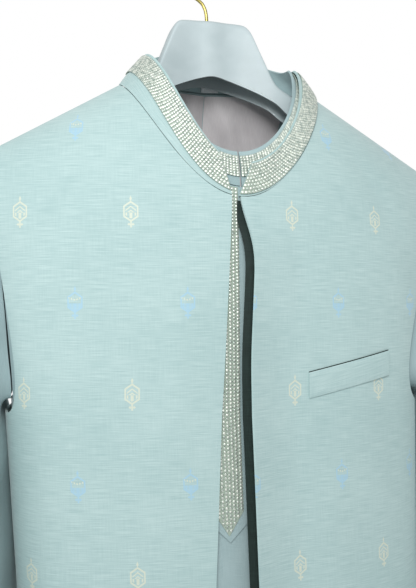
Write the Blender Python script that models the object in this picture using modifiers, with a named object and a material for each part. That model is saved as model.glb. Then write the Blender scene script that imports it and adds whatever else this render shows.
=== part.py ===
"""Kurta pajama set with a sleeveless jacket, hung on a moulded hanger.

World frame: X to the wearer's left, -Y to the front, +Z up, metres.
The origin is the point under the hook's bend where a rail carries it.
Every garment wall is worked out from a few body functions, so that one layer lies inside the next.
"""
import bmesh
import bpy
import math
import numpy as np
from mathutils import Vector

# Whole garment
GARMENT_SHIFT = (0.006, -0.024, 0.0)   # the cloth's neck centre, seen from the hook
SEAM_GAP = 0.0003                      # clear space between two sewn pieces
HALF_GAP = SEAM_GAP / 2
JACKET_WALL = 0.0022
KURTA_WALL = 0.0014
TRIM_WALL = 0.0010
KURTA_INSET = 0.0060                   # the kurta lies this far inside the jacket's face

# Shoulders and body
SHOULDER_SLOPE = 0.577
NECK_HALF = 0.101
NECK_SIDE_Z = -0.1385
SHOULDER_HALF = 0.228
UNDERARM_Z = -0.45
UNDERARM_HALF = 0.208
SHOULDER_FULLNESS = 0.06               # extra half width of the section at shoulder height
WAIST_Z = -0.62
WAIST_HALF = 0.203
JACKET_HEM_Z = -0.86
JACKET_HEM_HALF = 0.212
FRONT_DEPTH = 0.088
FRONT_RISE = 0.055
BACK_DEPTH = 0.080
BACK_RISE = 0.024
RISE_POWER = 0.8
SECTION_POWER = 2.6
INSET_RISE = 0.03
UNDERARM_RAISE = 2.0                   # an inner layer's underarm is higher by this many insets
ARMHOLE_COVER = 2.0                    # and its armhole is scooped less by this many insets
ROWS_ABOVE = 8                         # steps from the neck or shoulder to the underarm
ROWS_BELOW = 9                         # steps from the underarm to the hem
SWAY = 0.006                           # the waist hangs this far to the wearer's left
ARMHOLE_SCOOP = {("front", -1): 0.026, ("front", 1): 0.037, ("back", -1): 0.022, ("back", 1): 0.022}

# Jacket neck and front opening
NECK_FRONT_DROP = 0.1145
NECK_BACK_RISE = 0.0115
RIGHT_EDGE = {"height": (-0.255, -0.42, -0.62, -0.86), "across": (-0.0105, -0.013, -0.026, -0.036)}
LEFT_EDGE = {"height": (-0.255, -0.30, -0.40, -0.62, -0.86), "across": (-0.0043, 0.008, 0.002, 0.004, 0.010)}
LEFT_EDGE_LIFT = {"height": (-0.256, -0.30, -0.45, -0.86), "out": (0.0, 0.012, 0.016, 0.014)}
LIFT_REACH = 0.05

# Kurta
KURTA_NECK_HALF = 0.086
KURTA_NECK_SIDE_Z = -0.139
KURTA_NECK_DROP = 0.106
KURTA_BACK_RISE = 0.010
KURTA_HEM_Z = -1.17
KURTA_HEM_FLARE = 0.038
KURTA_HEM_FOLD = 0.007
SLIT_TOP_Z = -0.90
SLIT_OPEN = 0.004

# Collars: half width, front and back reach and height of the top edge
JACKET_COLLAR = {"half": 0.079, "front": 0.075, "back": 0.060, "side_z": -0.111, "drop": 0.110,
                 "back_z": -0.090, "power_left": 1.35, "power_right": 2.6}
KURTA_COLLAR = {"half": 0.0735, "front": 0.064, "back": 0.054, "side_z": -0.111, "drop": 0.098,
                "back_z": -0.094, "power_left": 1.3, "power_right": 1.3}
COLLAR_WALL = 0.0022
COLLAR_SEAM = 0.0007                   # the panels curve under the collar, so its seam is wider
NECK_STEP = 15                         # degrees between the columns round a neckline
JACKET_COLLAR_ENDS = {"top": (3.1, 348.0), "base": (-2.4, 354.0)}
KURTA_COLLAR_ENDS = {"top": (0.6, 359.4), "base": (0.6, 359.4)}
JACKET_TRIM_SHARES = (0.02, 0.33, 0.66)
KURTA_TRIM_SHARES = (0.10, 0.42, 0.74)
SEAT = 0.0008                          # clear space under what lies on a curved panel

# Placket
PLACKET = {"left_x": -0.034, "right_x": 0.005, "end_z": -0.545, "tip_z": -0.566}
PLACKET_TRIM = {"left_x": -0.030, "right_x": -0.005, "end_z": -0.538, "tip_z": -0.560}

# Chest pocket welt on the jacket's left front
WELT = {"inner_x": 0.062, "outer_x": 0.152, "inner_z": -0.414, "outer_z": -0.396, "height": 0.024,
        "wall": 0.0014}

# Sleeves
SLEEVE_LEVEL_Z = -0.47
ARMHOLE_SEAM = 0.0010
CUFF_Z = -0.81
SLEEVE_CENTRE = {"x": 0.240, "y": 0.002, "cuff_x": 0.240}
SLEEVE_HALF = {"long": 0.075, "thick": 0.021, "cuff_long": 0.068, "cuff_thick": 0.017}
SLEEVE_TURN = math.radians(17)
SLEEVE_RINGS = 13
SLEEVE_SIDES = 20

# Hanger
HANGER_THICK = {"middle": 0.047, "neck": 0.027, "tip": 0.018}
HANGER_NECK_X = 0.070
HANGER_WALL = 0.003
HANGER_TOP_Z = -0.070
HANGER_TIP_X = 0.206
ARM_HEIGHT = 0.036
HANGER_EDGE_ROUND = 0.014
HANGER_FLANK = {"across": (0.0, 0.012, 0.024, 0.032, 0.0365, 0.044, 0.052, 0.062),
                "height": (-0.070, -0.0702, -0.0712, -0.074, -0.079, -0.091, -0.106, -0.126)}
ARCH = {"apex_z": -0.122, "fall": 0.016, "half": 0.045}
ARM_CLEARANCE = 0.0075                 # the arms lie this far under the kurta's shoulders
BAR_Z = -0.285
BAR_END_X = 0.170
BAR_RADIUS = 0.005
WIRE_RADIUS = 0.0017
HOOK_RADIUS = 0.025

# Pajama, folded lengthwise and hung over the bar
PAJAMA_HALF = 0.110
LEG_THICK = 0.006
PAJAMA_FALL = {"front": 0.47, "back": 0.47}
WAISTBAND_HEIGHT = 0.035

# Label and lining at the back neck
LABEL = {"x": 0.003, "width": 0.016, "height": 0.010, "top_z": -0.1330, "wall": 0.0010}
LINING_ROWS = 7
LINING_REACH = 5

COLOURS = {
    "jacket": (0.49, 0.69, 0.66), "trim": (0.55, 0.60, 0.52), "kurta": (0.36, 0.46, 0.50),
    "lining": (0.49, 0.45, 0.47), "hanger": (0.58, 0.68, 0.72), "brass": (0.45, 0.36, 0.14),
    "label": (0.85, 0.86, 0.86),
}


def clear_scene():
    """Start from an empty file."""
    for old in list(bpy.data.objects):
        bpy.data.objects.remove(old, do_unlink=True)


clear_scene()
PARTS = bpy.data.collections.new("kurta_pajama_set_on_hanger")
CUTTERS = bpy.data.collections.new("cutters")
for group in (PARTS, CUTTERS):
    bpy.context.scene.collection.children.link(group)


def plain_material(name, colour, roughness=0.8, metallic=0.0):
    material = bpy.data.materials.new(name)
    material.use_nodes = True
    shader = material.node_tree.nodes["Principled BSDF"]
    shader.inputs["Base Color"].default_value = (*colour, 1.0)
    shader.inputs["Roughness"].default_value = roughness
    shader.inputs["Metallic"].default_value = metallic
    return material


GARMENT = bpy.data.objects.new("garment_place", None)
GARMENT.location = GARMENT_SHIFT
PARTS.objects.link(GARMENT)


def add_object(name, mesh, colour, roughness=0.8, metallic=0.0, on_garment=True):
    """One named sub-part with its own material, on the garment's empty or in the world."""
    part = bpy.data.objects.new(name, mesh)
    mesh.materials.append(plain_material(name + "_finish", COLOURS[colour], roughness, metallic))
    PARTS.objects.link(part)
    if on_garment:
        part.parent = GARMENT
    return part


def loft(name, outer, inner, colour, closed=False, roughness=0.8):
    """A cloth wall between two grids of points, rows down and columns across.

    The rims along the open edges join the two grids. A closed wall runs round in its columns.
    """
    rows, cols = outer.shape[:2]
    points = np.concatenate([outer.reshape(-1, 3), inner.reshape(-1, 3)])
    shift = rows * cols
    faces = []
    steps = cols if closed else cols - 1
    for row in range(rows - 1):
        for col in range(steps):
            a = row * cols + col
            b = row * cols + (col + 1) % cols
            c, d = b + cols, a + cols
            faces.append((a, d, c, b))
            faces.append((a + shift, b + shift, c + shift, d + shift))
    top = [col for col in range(cols)]
    bottom = [(rows - 1) * cols + col for col in range(cols)]
    for col in range(steps):
        a, b = top[col], top[(col + 1) % cols]
        faces.append((a, b, b + shift, a + shift))
        a, b = bottom[col], bottom[(col + 1) % cols]
        faces.append((b, a, a + shift, b + shift))
    if not closed:
        for row in range(rows - 1):
            a, b = row * cols, (row + 1) * cols
            faces.append((b, a, a + shift, b + shift))
            a, b = a + cols - 1, b + cols - 1
            faces.append((a, b, b + shift, a + shift))
    mesh = bpy.data.meshes.new(name)
    mesh.from_pydata([tuple(p) for p in points.tolist()], [], faces)
    work = bmesh.new()
    work.from_mesh(mesh)
    bmesh.ops.recalc_face_normals(work, faces=work.faces)
    work.to_mesh(mesh)
    work.free()
    mesh.shade_smooth()
    mesh.set_sharp_from_angle(angle=math.radians(50))
    return add_object(name, mesh, colour, roughness)


# Body functions. inset is how far a layer lies inside the jacket's outer face.

def section_half(z, inset):
    """Half width of the body's section at height z: shoulder, underarm, waist and hem."""
    heights = (KURTA_HEM_Z, JACKET_HEM_Z, WAIST_Z, UNDERARM_Z)
    widths = (JACKET_HEM_HALF, JACKET_HEM_HALF, WAIST_HALF, UNDERARM_HALF)
    width = np.interp(z, heights, widths)
    above = np.clip((z - UNDERARM_Z) / (NECK_SIDE_Z - UNDERARM_Z), 0, 1)
    below = np.clip((JACKET_HEM_Z - z) / (JACKET_HEM_Z - KURTA_HEM_Z), 0, 1)
    return width + SHOULDER_FULLNESS * above ** 1.5 - inset + KURTA_HEM_FLARE * below ** 1.3


def ridge_height(x, inset):
    """Height of the shoulder line over the point x, carried on inwards to the middle."""
    return NECK_SIDE_Z - (np.abs(x) - NECK_HALF) * SHOULDER_SLOPE - 1.15 * inset


def body_depth(x, z, inset, side):
    """Distance of the front or back face from the side seams' plane."""
    reach, rise = (FRONT_DEPTH, FRONT_RISE) if side == "front" else (BACK_DEPTH, BACK_RISE)
    fall = np.maximum(ridge_height(x, inset) - z, 0)
    depth = reach * (1 - np.exp(-(fall / rise) ** RISE_POWER))
    depth = depth - inset * (1 - np.exp(-fall / INSET_RISE))
    share = np.clip(np.abs(x) / section_half(z, inset), 0, 1)
    return depth * (1 - share ** SECTION_POWER) ** (1 / SECTION_POWER)


def hem_fold(x, z):
    """Soft folds that grow towards the kurta's hem."""
    share = np.clip((JACKET_HEM_Z - z) / (JACKET_HEM_Z - KURTA_HEM_Z), 0, 1)
    return KURTA_HEM_FOLD * share * np.cos(x * 52) * np.cos(x / 0.255 * math.pi / 2)


def sway(z):
    """Sideways swing of the hanging body below the underarm."""
    share = np.clip((UNDERARM_Z - z) / (UNDERARM_Z - WAIST_Z), 0, 1)
    return SWAY * share


def body_point(x, z, inset, side, thick_gap=HALF_GAP):
    """A point on the front or back face of a layer."""
    direction = -1 if side == "front" else 1
    depth = body_depth(x, z, inset, side) + thick_gap + hem_fold(x, z)
    return np.stack([x + sway(z), direction * depth, z + 0 * x], axis=-1)


def outer_half(z, inset, side, hand):
    """Half width out to the armhole edge above the underarm, and to the side seam below it."""
    underarm = UNDERARM_Z + UNDERARM_RAISE * inset
    tip = SHOULDER_HALF - inset
    tip_z = float(ridge_height(tip, inset))
    share = np.clip((tip_z - z) / (tip_z - underarm), 0, 1)
    scoop = share ** 1.3 * np.sqrt(1 - share ** 6) / 0.645
    straight = tip + (UNDERARM_HALF - inset - tip) * share
    reach = (ARMHOLE_SCOOP[(side, hand)] - ARMHOLE_COVER * inset) * scoop * 0.75
    return np.where(z > underarm, straight - reach, section_half(z, inset))


def neck_columns(half):
    """Places across the half neck where every piece on the neckline has a column."""
    return half * np.sin(np.radians(np.arange(0, 90 + NECK_STEP, NECK_STEP)))


def neck_line(x, half, side_z, drop):
    """Height of the neckline over x: a parabola, straight between the neck's columns."""
    columns = neck_columns(half)
    return np.interp(np.abs(x), columns, side_z - drop * (1 - (columns / half) ** 2))


JACKET_NECK = {"half": NECK_HALF, "side_z": NECK_SIDE_Z, "front": NECK_FRONT_DROP, "back": -NECK_BACK_RISE}
KURTA_NECK = {"half": KURTA_NECK_HALF, "side_z": KURTA_NECK_SIDE_Z, "front": KURTA_NECK_DROP,
              "back": -KURTA_BACK_RISE}


def neck_height(x, neck, side, inset):
    """Top of a panel over x: the neckline, then the shoulder line."""
    line = neck_line(x, neck["half"], neck["side_z"], neck[side])
    return np.where(np.abs(x) < neck["half"], line, ridge_height(x, inset))


def neck_side_z(neck, inset):
    """The neckline's end lies on the shoulder line."""
    return float(ridge_height(neck["half"], inset))


KURTA_NECK["side_z"] = neck_side_z(KURTA_NECK, KURTA_INSET)


def column_shares(neck_half, inset, start, side_columns):
    """Shares of the way from the start to the side: the neck's columns, then closer to the side."""
    width = SHOULDER_HALF - inset
    angle = np.linspace(0, math.pi / 2, side_columns + 1)[1:]
    columns = neck_columns(neck_half)
    places = np.concatenate([columns, neck_half + (width - neck_half) * np.sin(angle)])
    places[0] = start
    return (places - start) / (width - start)


def row_heights(top, inset, hem_z):
    """Heights of a panel's rows, closer together at the shoulder and underarm."""
    underarm = UNDERARM_Z + UNDERARM_RAISE * inset
    above = (1 - np.cos(np.arange(ROWS_ABOVE) / ROWS_ABOVE * math.pi)) / 2
    below = (np.arange(ROWS_BELOW + 1) / ROWS_BELOW) ** 1.1
    top = np.atleast_1d(top)[None]
    upper = top + (underarm - top) * above[:, None]
    lower = underarm + (hem_z - underarm) * below[:, None] + 0 * top
    return np.concatenate([upper, lower])


def panel_points(neck, inset, side, hand, shares, hem_z, wall, edge=None, seam_gap=HALF_GAP):
    """Outer and inner points of one half of a panel, from the middle or front edge to the side."""
    grids = []
    for layer in (inset, inset + wall):
        begin = 0.0 if edge is None else float(edge(NECK_SIDE_Z)) * hand
        top_x = (begin + shares * (SHOULDER_HALF - layer - begin)) * hand
        top = neck_height(top_x, neck, side, layer) - (seam_gap if side == "front" else 0)
        z = row_heights(top, layer, hem_z)
        out = outer_half(z, layer, side, hand)
        start = np.zeros_like(z) if edge is None else edge(z) * hand
        x = (start + shares[None, :] * (out - start)) * hand
        grids.append(body_point(x, z, layer, side))
    return grids


def both_halves(neck, inset, side, shares, hem_z, wall):
    """Outer and inner points of a whole panel, from the wearer's right to left."""
    halves = {}
    for hand in (-1, 1):
        halves[hand] = panel_points(neck, inset, side, hand, shares, hem_z, wall)
    return [np.concatenate([halves[-1][k][:, :0:-1], halves[1][k]], axis=1) for k in (0, 1)]


def table_curve(table, key):
    """A smooth-enough line through a short table of heights."""
    heights = np.array(table["height"])[::-1]
    values = np.array(table[key])[::-1]
    return lambda z: np.interp(z, heights, values)


def lift_edge(points, edge, lift):
    """Raise the cloth forward near the free front edge."""
    z = points[..., 2]
    away = np.abs(points[..., 0] - sway(z) - edge(z))
    share = np.clip(1 - away / LIFT_REACH, 0, 1)
    lifted = points.copy()
    lifted[..., 1] -= lift(z) * share ** 1.6
    return lifted


def jacket_fronts():
    """Two fronts with a free edge each; the left one stands off the kurta."""
    for name, hand, table in (("jacket_front_right", -1, RIGHT_EDGE), ("jacket_front_left", 1, LEFT_EDGE)):
        edge = table_curve(table, "across")
        shares = column_shares(NECK_HALF, 0, float(edge(NECK_SIDE_Z)) * hand, 7)
        outer, inner = panel_points(JACKET_NECK, 0, "front", hand, shares, JACKET_HEM_Z, JACKET_WALL, edge)
        if hand == 1:
            lift = table_curve(LEFT_EDGE_LIFT, "out")
            outer, inner = (lift_edge(grid, edge, lift) for grid in (outer, inner))
        loft(name, outer, inner, "jacket")


def jacket_back():
    shares = column_shares(NECK_HALF, 0, 0.0, 6)
    outer, inner = both_halves(JACKET_NECK, 0, "back", shares, JACKET_HEM_Z, JACKET_WALL)
    loft("jacket_back", outer, inner, "jacket")


def kurta_body():
    """Kurta front and back; below the slit's top their side edges part."""
    shares = column_shares(KURTA_NECK_HALF, KURTA_INSET, 0.0, 6)
    for side in ("front", "back"):
        grids = both_halves(KURTA_NECK, KURTA_INSET, side, shares, KURTA_HEM_Z, KURTA_WALL)
        direction = -1 if side == "front" else 1
        for grid in grids:
            share = np.clip((SLIT_TOP_Z - grid[..., 2]) / (SLIT_TOP_Z - KURTA_HEM_Z), 0, 1)
            grid[..., 1] += direction * SLIT_OPEN * share
        loft("kurta_" + side, grids[0], grids[1], "kurta")
        if side == "back":
            back_lining(grids[1])


def collar_base(angle, neck, inset, deep):
    """Points of the neckline at angles from the front, on the body's own face."""
    share = np.sin(angle)
    front = np.cos(angle) > 0
    points = np.zeros(angle.shape + (3,))
    for side, chosen in (("front", front), ("back", ~front)):
        z = neck_line(neck["half"] * share[chosen], neck["half"], neck["side_z"], neck[side])
        points[chosen] = body_point((neck["half"] - deep) * share[chosen], z, inset + deep, side)
    return points


def collar_top(angle, collar, deep):
    """Points of a collar's top edge: a fall to the front whose power differs from side to side."""
    sine, cosine = np.sin(angle), np.cos(angle)
    x = (collar["half"] - deep) * sine
    reach = np.where(cosine > 0, collar["front"], collar["back"]) - deep
    y = -np.sign(cosine) * reach * np.abs(cosine) ** 0.75
    power = np.where(sine > 0, collar["power_left"], collar["power_right"])
    front_z = collar["side_z"] - collar["drop"] * np.abs(cosine) ** power
    rise = collar["back_z"] - collar["side_z"]
    z = np.where(cosine > 0, front_z, collar["side_z"] + rise * np.abs(cosine) ** 1.5)
    return np.stack([x, y, z], axis=-1)


def collar_wall(neck, collar, inset, ends, shares, wall, out=0.0):
    """Outer and inner grids of a standing collar, lofted from its top edge to the neckline."""
    between = np.arange(NECK_STEP, 360, NECK_STEP)
    top_angle, base_angle = (np.radians(np.concatenate([[ends[key][0]], between, [ends[key][1]]]))
                             for key in ("top", "base"))
    grids = []
    for deep in (-out, -out + wall):
        base = collar_base(base_angle, neck, inset, deep)
        base[..., 2] += COLLAR_SEAM
        top = collar_top(top_angle, collar, deep)
        share = np.array(shares)[:, None, None]
        grids.append(top[None] + (base - top)[None] * share)
    return grids


def collars():
    """Standing collars of the jacket and kurta with the trim laid on each."""
    whole = (0.0, 0.33, 0.66, 1.0)
    out = SEAT + TRIM_WALL
    for name, neck, collar, inset, ends, trim_shares, colour in (
            ("jacket", JACKET_NECK, JACKET_COLLAR, 0.0, JACKET_COLLAR_ENDS, JACKET_TRIM_SHARES, "jacket"),
            ("kurta", KURTA_NECK, KURTA_COLLAR, KURTA_INSET, KURTA_COLLAR_ENDS, KURTA_TRIM_SHARES, "kurta")):
        outer, inner = collar_wall(neck, collar, inset, ends, whole, COLLAR_WALL)
        loft(name + "_collar", outer, inner, colour)
        outer, inner = collar_wall(neck, collar, inset, ends, trim_shares, TRIM_WALL, out)
        loft(name + "_collar_trim", outer, inner, "trim", roughness=0.4)


def strip_down_front(name, size, out, wall, top_drop, rows, colour):
    """A strip on the kurta's front from the neckline down to a pointed end."""
    across = np.linspace(size["left_x"], size["right_x"], 5)
    middle = (size["left_x"] + size["right_x"]) / 2
    half = (size["right_x"] - size["left_x"]) / 2
    point = 1 - np.abs(across - middle) / half
    top = neck_line(across, KURTA_NECK["half"], KURTA_NECK["side_z"], KURTA_NECK["front"]) - top_drop
    bottom = size["end_z"] + (size["tip_z"] - size["end_z"]) * point
    down = np.linspace(0, 1, rows)
    z = top[None] + (bottom - top)[None] * down[:, None]
    x = across[None] + 0 * z
    grids = []
    for lie in (out + wall, out):
        grids.append(body_point(x, z, KURTA_INSET, "front", HALF_GAP + lie))
    return loft(name, grids[0], grids[1], colour)


def placket():
    strip_down_front("kurta_placket", PLACKET, SEAT, TRIM_WALL, 0.0015, 12, "kurta")
    strip_down_front("kurta_placket_trim", PLACKET_TRIM, SEAT + TRIM_WALL + SEAM_GAP, TRIM_WALL * 0.8,
                     0.0015, 12, "trim")


def pocket_welt():
    """A slanted strip laid on the jacket's left front."""
    along = np.linspace(0, 1, 9)
    x_line = WELT["inner_x"] + (WELT["outer_x"] - WELT["inner_x"]) * along
    z_line = WELT["inner_z"] + (WELT["outer_z"] - WELT["inner_z"]) * along
    down = np.linspace(0, WELT["height"], 4)
    x = x_line[None] + 0 * down[:, None]
    z = z_line[None] - down[:, None]
    grids = []
    for lie in (SEAT + WELT["wall"], SEAT):
        grids.append(body_point(x, z, 0, "front", HALF_GAP + lie))
    loft("jacket_pocket_welt", grids[0], grids[1], "jacket")


def armhole_ring(hand, inset, count):
    """The kurta's armhole edge as a ring: shoulder tip, front edge, underarm, back edge.

    Its points lie on the straight steps between the rows of the kurta's panels.
    """
    quarter = count // 4
    tip_z = float(ridge_height(SHOULDER_HALF - inset, inset))
    low_z = UNDERARM_Z + UNDERARM_RAISE * inset
    share = np.sin(np.linspace(0, math.pi / 2, 2 * quarter + 1)) ** 1.25
    z = tip_z + (low_z - tip_z) * share
    rows = row_heights(tip_z, inset, KURTA_HEM_Z)[:, 0]
    lines = {}
    for side in ("front", "back"):
        edge = body_point(outer_half(rows, inset, side, hand) * hand, rows, inset, side)
        lines[side] = np.stack([np.interp(-z, -rows, edge[:, k]) for k in range(3)], axis=-1)
    ring = np.concatenate([lines["front"], lines["back"][-2:0:-1]])
    ring[:, 0] += hand * ARMHOLE_SEAM
    return ring


def cuff_ring(hand, z, share, inset, count):
    """A flattened ring of the hanging sleeve: outer edge first, then front, inner edge and back."""
    theta = np.linspace(0, 2 * math.pi, count, endpoint=False)
    long_half = SLEEVE_HALF["long"] + (SLEEVE_HALF["cuff_long"] - SLEEVE_HALF["long"]) * share - inset
    thick_half = SLEEVE_HALF["thick"] + (SLEEVE_HALF["cuff_thick"] - SLEEVE_HALF["thick"]) * share - inset
    centre_x = SLEEVE_CENTRE["x"] + (SLEEVE_CENTRE["cuff_x"] - SLEEVE_CENTRE["x"]) * share
    power = 0.8
    across = np.sign(np.sin(theta)) * np.abs(np.sin(theta)) ** power
    outward = np.sign(np.cos(theta)) * np.abs(np.cos(theta)) ** power
    front_dir = (math.sin(SLEEVE_TURN), -math.cos(SLEEVE_TURN))
    out_dir = (math.cos(SLEEVE_TURN), math.sin(SLEEVE_TURN))
    x = centre_x + long_half * across * front_dir[0] + thick_half * outward * out_dir[0]
    y = SLEEVE_CENTRE["y"] + long_half * across * front_dir[1] + thick_half * outward * out_dir[1]
    return np.stack([x * hand + sway(z), y, z + 0 * x], axis=-1)


def sleeve_points(hand, inset):
    """Rings from the armhole out and down: a smooth curve to the level ring, then straight to the cuff."""
    start = armhole_ring(hand, KURTA_INSET + inset, SLEEVE_SIDES)
    level = cuff_ring(hand, SLEEVE_LEVEL_Z, 0.0, inset, SLEEVE_SIDES)
    theta = np.linspace(0, 2 * math.pi, SLEEVE_SIDES, endpoint=False)
    top_share = ((1 + np.cos(theta)) / 2)[:, None]
    span = np.linalg.norm(level - start, axis=1)[:, None]
    leave = np.concatenate([hand * (0.82 + 0.18 * (1 - top_share)), 0 * top_share,
                            -0.55 * top_share + 0.12 * (1 - top_share)], axis=1)
    arrive = np.array([0.0, 0.0, -1.0])
    rings = []
    for t in np.linspace(0, 1, SLEEVE_RINGS - 6):
        h00, h10 = 2 * t**3 - 3 * t**2 + 1, t**3 - 2 * t**2 + t
        h01, h11 = -2 * t**3 + 3 * t**2, t**3 - t**2
        rings.append(h00 * start + h10 * span * leave * 1.05 + h01 * level + h11 * span * arrive * 0.9)
    for share in np.linspace(0, 1, 7)[1:]:
        z = SLEEVE_LEVEL_Z + (CUFF_Z - SLEEVE_LEVEL_Z) * share
        rings.append(cuff_ring(hand, z, share, inset, SLEEVE_SIDES))
    return np.array(rings)


def sleeves():
    for name, hand in (("kurta_sleeve_right", -1), ("kurta_sleeve_left", 1)):
        outer = sleeve_points(hand, 0.0)
        inner = sleeve_points(hand, KURTA_WALL)
        loft(name, outer, inner, "kurta", closed=True)


def back_lining(face):
    """The pale lining inside the kurta's back: the panel's own points moved in."""
    middle = face.shape[1] // 2
    part = face[1:LINING_ROWS, middle - LINING_REACH:middle + LINING_REACH + 1]
    grids = []
    for lie in (SEAM_GAP, SEAM_GAP + TRIM_WALL):
        moved = part.copy()
        moved[..., 1] -= lie
        grids.append(moved)
    loft("kurta_back_lining", grids[0], grids[1], "lining")


def neck_label():
    """The blank label sewn inside the back of the neck, over the lining's top."""
    across = np.linspace(-LABEL["width"] / 2, LABEL["width"] / 2, 4)
    under = KURTA_INSET + KURTA_WALL + SEAM_GAP + TRIM_WALL + SEAT
    z = LABEL["top_z"] - np.linspace(0, LABEL["height"], 3)[:, None] + 0 * across[None]
    grids = [body_point(across[None] + LABEL["x"] + 0 * z, z, layer, "back", 0.0)
             for layer in (under, under + LABEL["wall"])]
    loft("kurta_label", grids[0], grids[1], "label")


def hanger_top(x):
    """Height of the hanger's top face over x: a broad crown, its flanks, then the sloping arms."""
    reach = np.abs(x)
    under_shoulder = ridge_height(x - GARMENT_SHIFT[0], KURTA_INSET + KURTA_WALL) - ARM_CLEARANCE
    table = HANGER_FLANK
    flank = np.interp(reach, table["across"], table["height"])
    return np.where(reach < table["across"][-1], flank, under_shoulder)


def hanger_body():
    """A moulded channel: an upside-down U section, open underneath and arched at the middle."""
    reach = np.concatenate([np.array(HANGER_FLANK["across"]), np.linspace(HANGER_NECK_X, HANGER_TIP_X, 7)])
    x = np.concatenate([-reach[:0:-1], reach])
    top = hanger_top(x)
    arch = ARCH["apex_z"] - ARCH["fall"] * (np.abs(x) / ARCH["half"]) ** 1.5
    low = np.maximum(np.minimum(arch, top - 0.024), top - ARM_HEIGHT)
    low = np.where(np.abs(x) < HANGER_NECK_X, np.minimum(arch, top - 0.020), low)
    thick = np.interp(np.abs(x), (0, HANGER_NECK_X, HANGER_TIP_X), tuple(HANGER_THICK.values()))
    forward = np.clip((np.abs(x) - 0.010) / HANGER_NECK_X, 0, 1)
    centre_y = GARMENT_SHIFT[1] * forward ** 2 * (3 - 2 * forward)
    turn = np.radians(np.array([-90, -50, -20, 20, 50, 90]))
    grids = []
    for wall in (0.0, HANGER_WALL):
        half = (thick / 2 - wall)[:, None]
        y = half * (np.sign(np.sin(turn)) * np.abs(np.sin(turn)) ** 0.6)[None]
        z = (top - wall)[:, None] - HANGER_EDGE_ROUND * (1 - np.abs(np.cos(turn)) ** 0.6)[None]
        y = np.concatenate([-half, y, half], axis=1) + centre_y[:, None]
        z = np.concatenate([low[:, None], z, low[:, None]], axis=1)
        grids.append(np.stack([x[:, None] + 0 * z, y, z], axis=-1))
    part = loft("hanger_body", grids[0], grids[1], "hanger", roughness=0.35)
    part.parent = None


def tube(name, points, radius, colour, metallic=0.0, resolution=3):
    """A round bar along a poly line, with filled caps."""
    curve = bpy.data.curves.new(name, "CURVE")
    curve.dimensions = "3D"
    curve.bevel_depth = radius
    curve.bevel_resolution = resolution
    curve.use_fill_caps = True
    line = curve.splines.new("POLY")
    line.points.add(len(points) - 1)
    for spot, place in zip(line.points, points):
        spot.co = (*place, 1.0)
    source = bpy.data.objects.new(name + "_route", curve)
    CUTTERS.objects.link(source)
    source.hide_render = True
    source.display_type = "WIRE"
    graph = bpy.context.evaluated_depsgraph_get()
    mesh = bpy.data.meshes.new_from_object(source.evaluated_get(graph))
    bpy.data.objects.remove(source, do_unlink=True)
    work = bmesh.new()
    work.from_mesh(mesh)
    bmesh.ops.remove_doubles(work, verts=work.verts, dist=1e-6)
    bmesh.ops.recalc_face_normals(work, faces=work.faces)
    work.to_mesh(mesh)
    work.free()
    mesh.name = name
    mesh.materials.clear()
    mesh.shade_smooth()
    return add_object(name, mesh, colour, 0.3, metallic, on_garment=False)


def hook_route():
    """From the hanger's top a left-hand sweep, then a round over the rail to an open end."""
    centre_z = -HOOK_RADIUS + WIRE_RADIUS
    points = [Vector((0.0, 0.0, HANGER_TOP_Z + SEAM_GAP)), Vector((-0.001, 0.0, HANGER_TOP_Z + 0.008)),
              Vector((-0.004, 0.0, HANGER_TOP_Z + 0.015)), Vector((-0.010, 0.0, HANGER_TOP_Z + 0.0215))]
    first, last = math.radians(222), math.radians(-20)
    for angle in np.linspace(first, last, 26):
        points.append(Vector((HOOK_RADIUS * math.cos(angle), 0.0, centre_z + HOOK_RADIUS * math.sin(angle))))
    return points


def hanger():
    hanger_body()
    tube("hanger_hook", hook_route(), WIRE_RADIUS, "brass", metallic=0.9, resolution=2)
    depth = GARMENT_SHIFT[1]
    points = []
    for hand in (-1, 1):
        seat_z = float(hanger_top(np.array(hand * BAR_END_X))) - HANGER_WALL
        seat_z -= SEAT + BAR_RADIUS * SHOULDER_SLOPE
        side = [(BAR_END_X, seat_z), (BAR_END_X, BAR_Z + 0.020), (BAR_END_X - 0.006, BAR_Z + 0.006),
                (BAR_END_X - 0.020, BAR_Z)]
        side = [Vector((hand * x, depth, z)) for x, z in side]
        points += side if hand == -1 else side[::-1]
    tube("hanger_bar", points, BAR_RADIUS, "hanger")


def folded_leg(name, gap, thick, fall):
    """A leg of the pajama folded over the bar: a round turn with two straight falls."""
    inner_radius = BAR_RADIUS + gap
    across = np.linspace(-PAJAMA_HALF, PAJAMA_HALF, 5)
    turn = np.linspace(0, math.pi, 9)
    grids = []
    for radius in (inner_radius + thick, inner_radius):
        arc_y = -radius * np.cos(turn)
        arc_z = BAR_Z + radius * np.sin(turn)
        low = BAR_Z - fall * np.linspace(1, 0.12, 3)
        y = np.concatenate([np.full(3, -radius), arc_y, np.full(3, radius)])
        z = np.concatenate([low, arc_z, low[::-1]])
        x = across[None] + 0 * y[:, None]
        grids.append(np.stack([x, y[:, None] + GARMENT_SHIFT[1] + 0 * x, z[:, None] + 0 * x], axis=-1))
    part = loft(name, grids[0], grids[1], "kurta")
    part.parent = None


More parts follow.
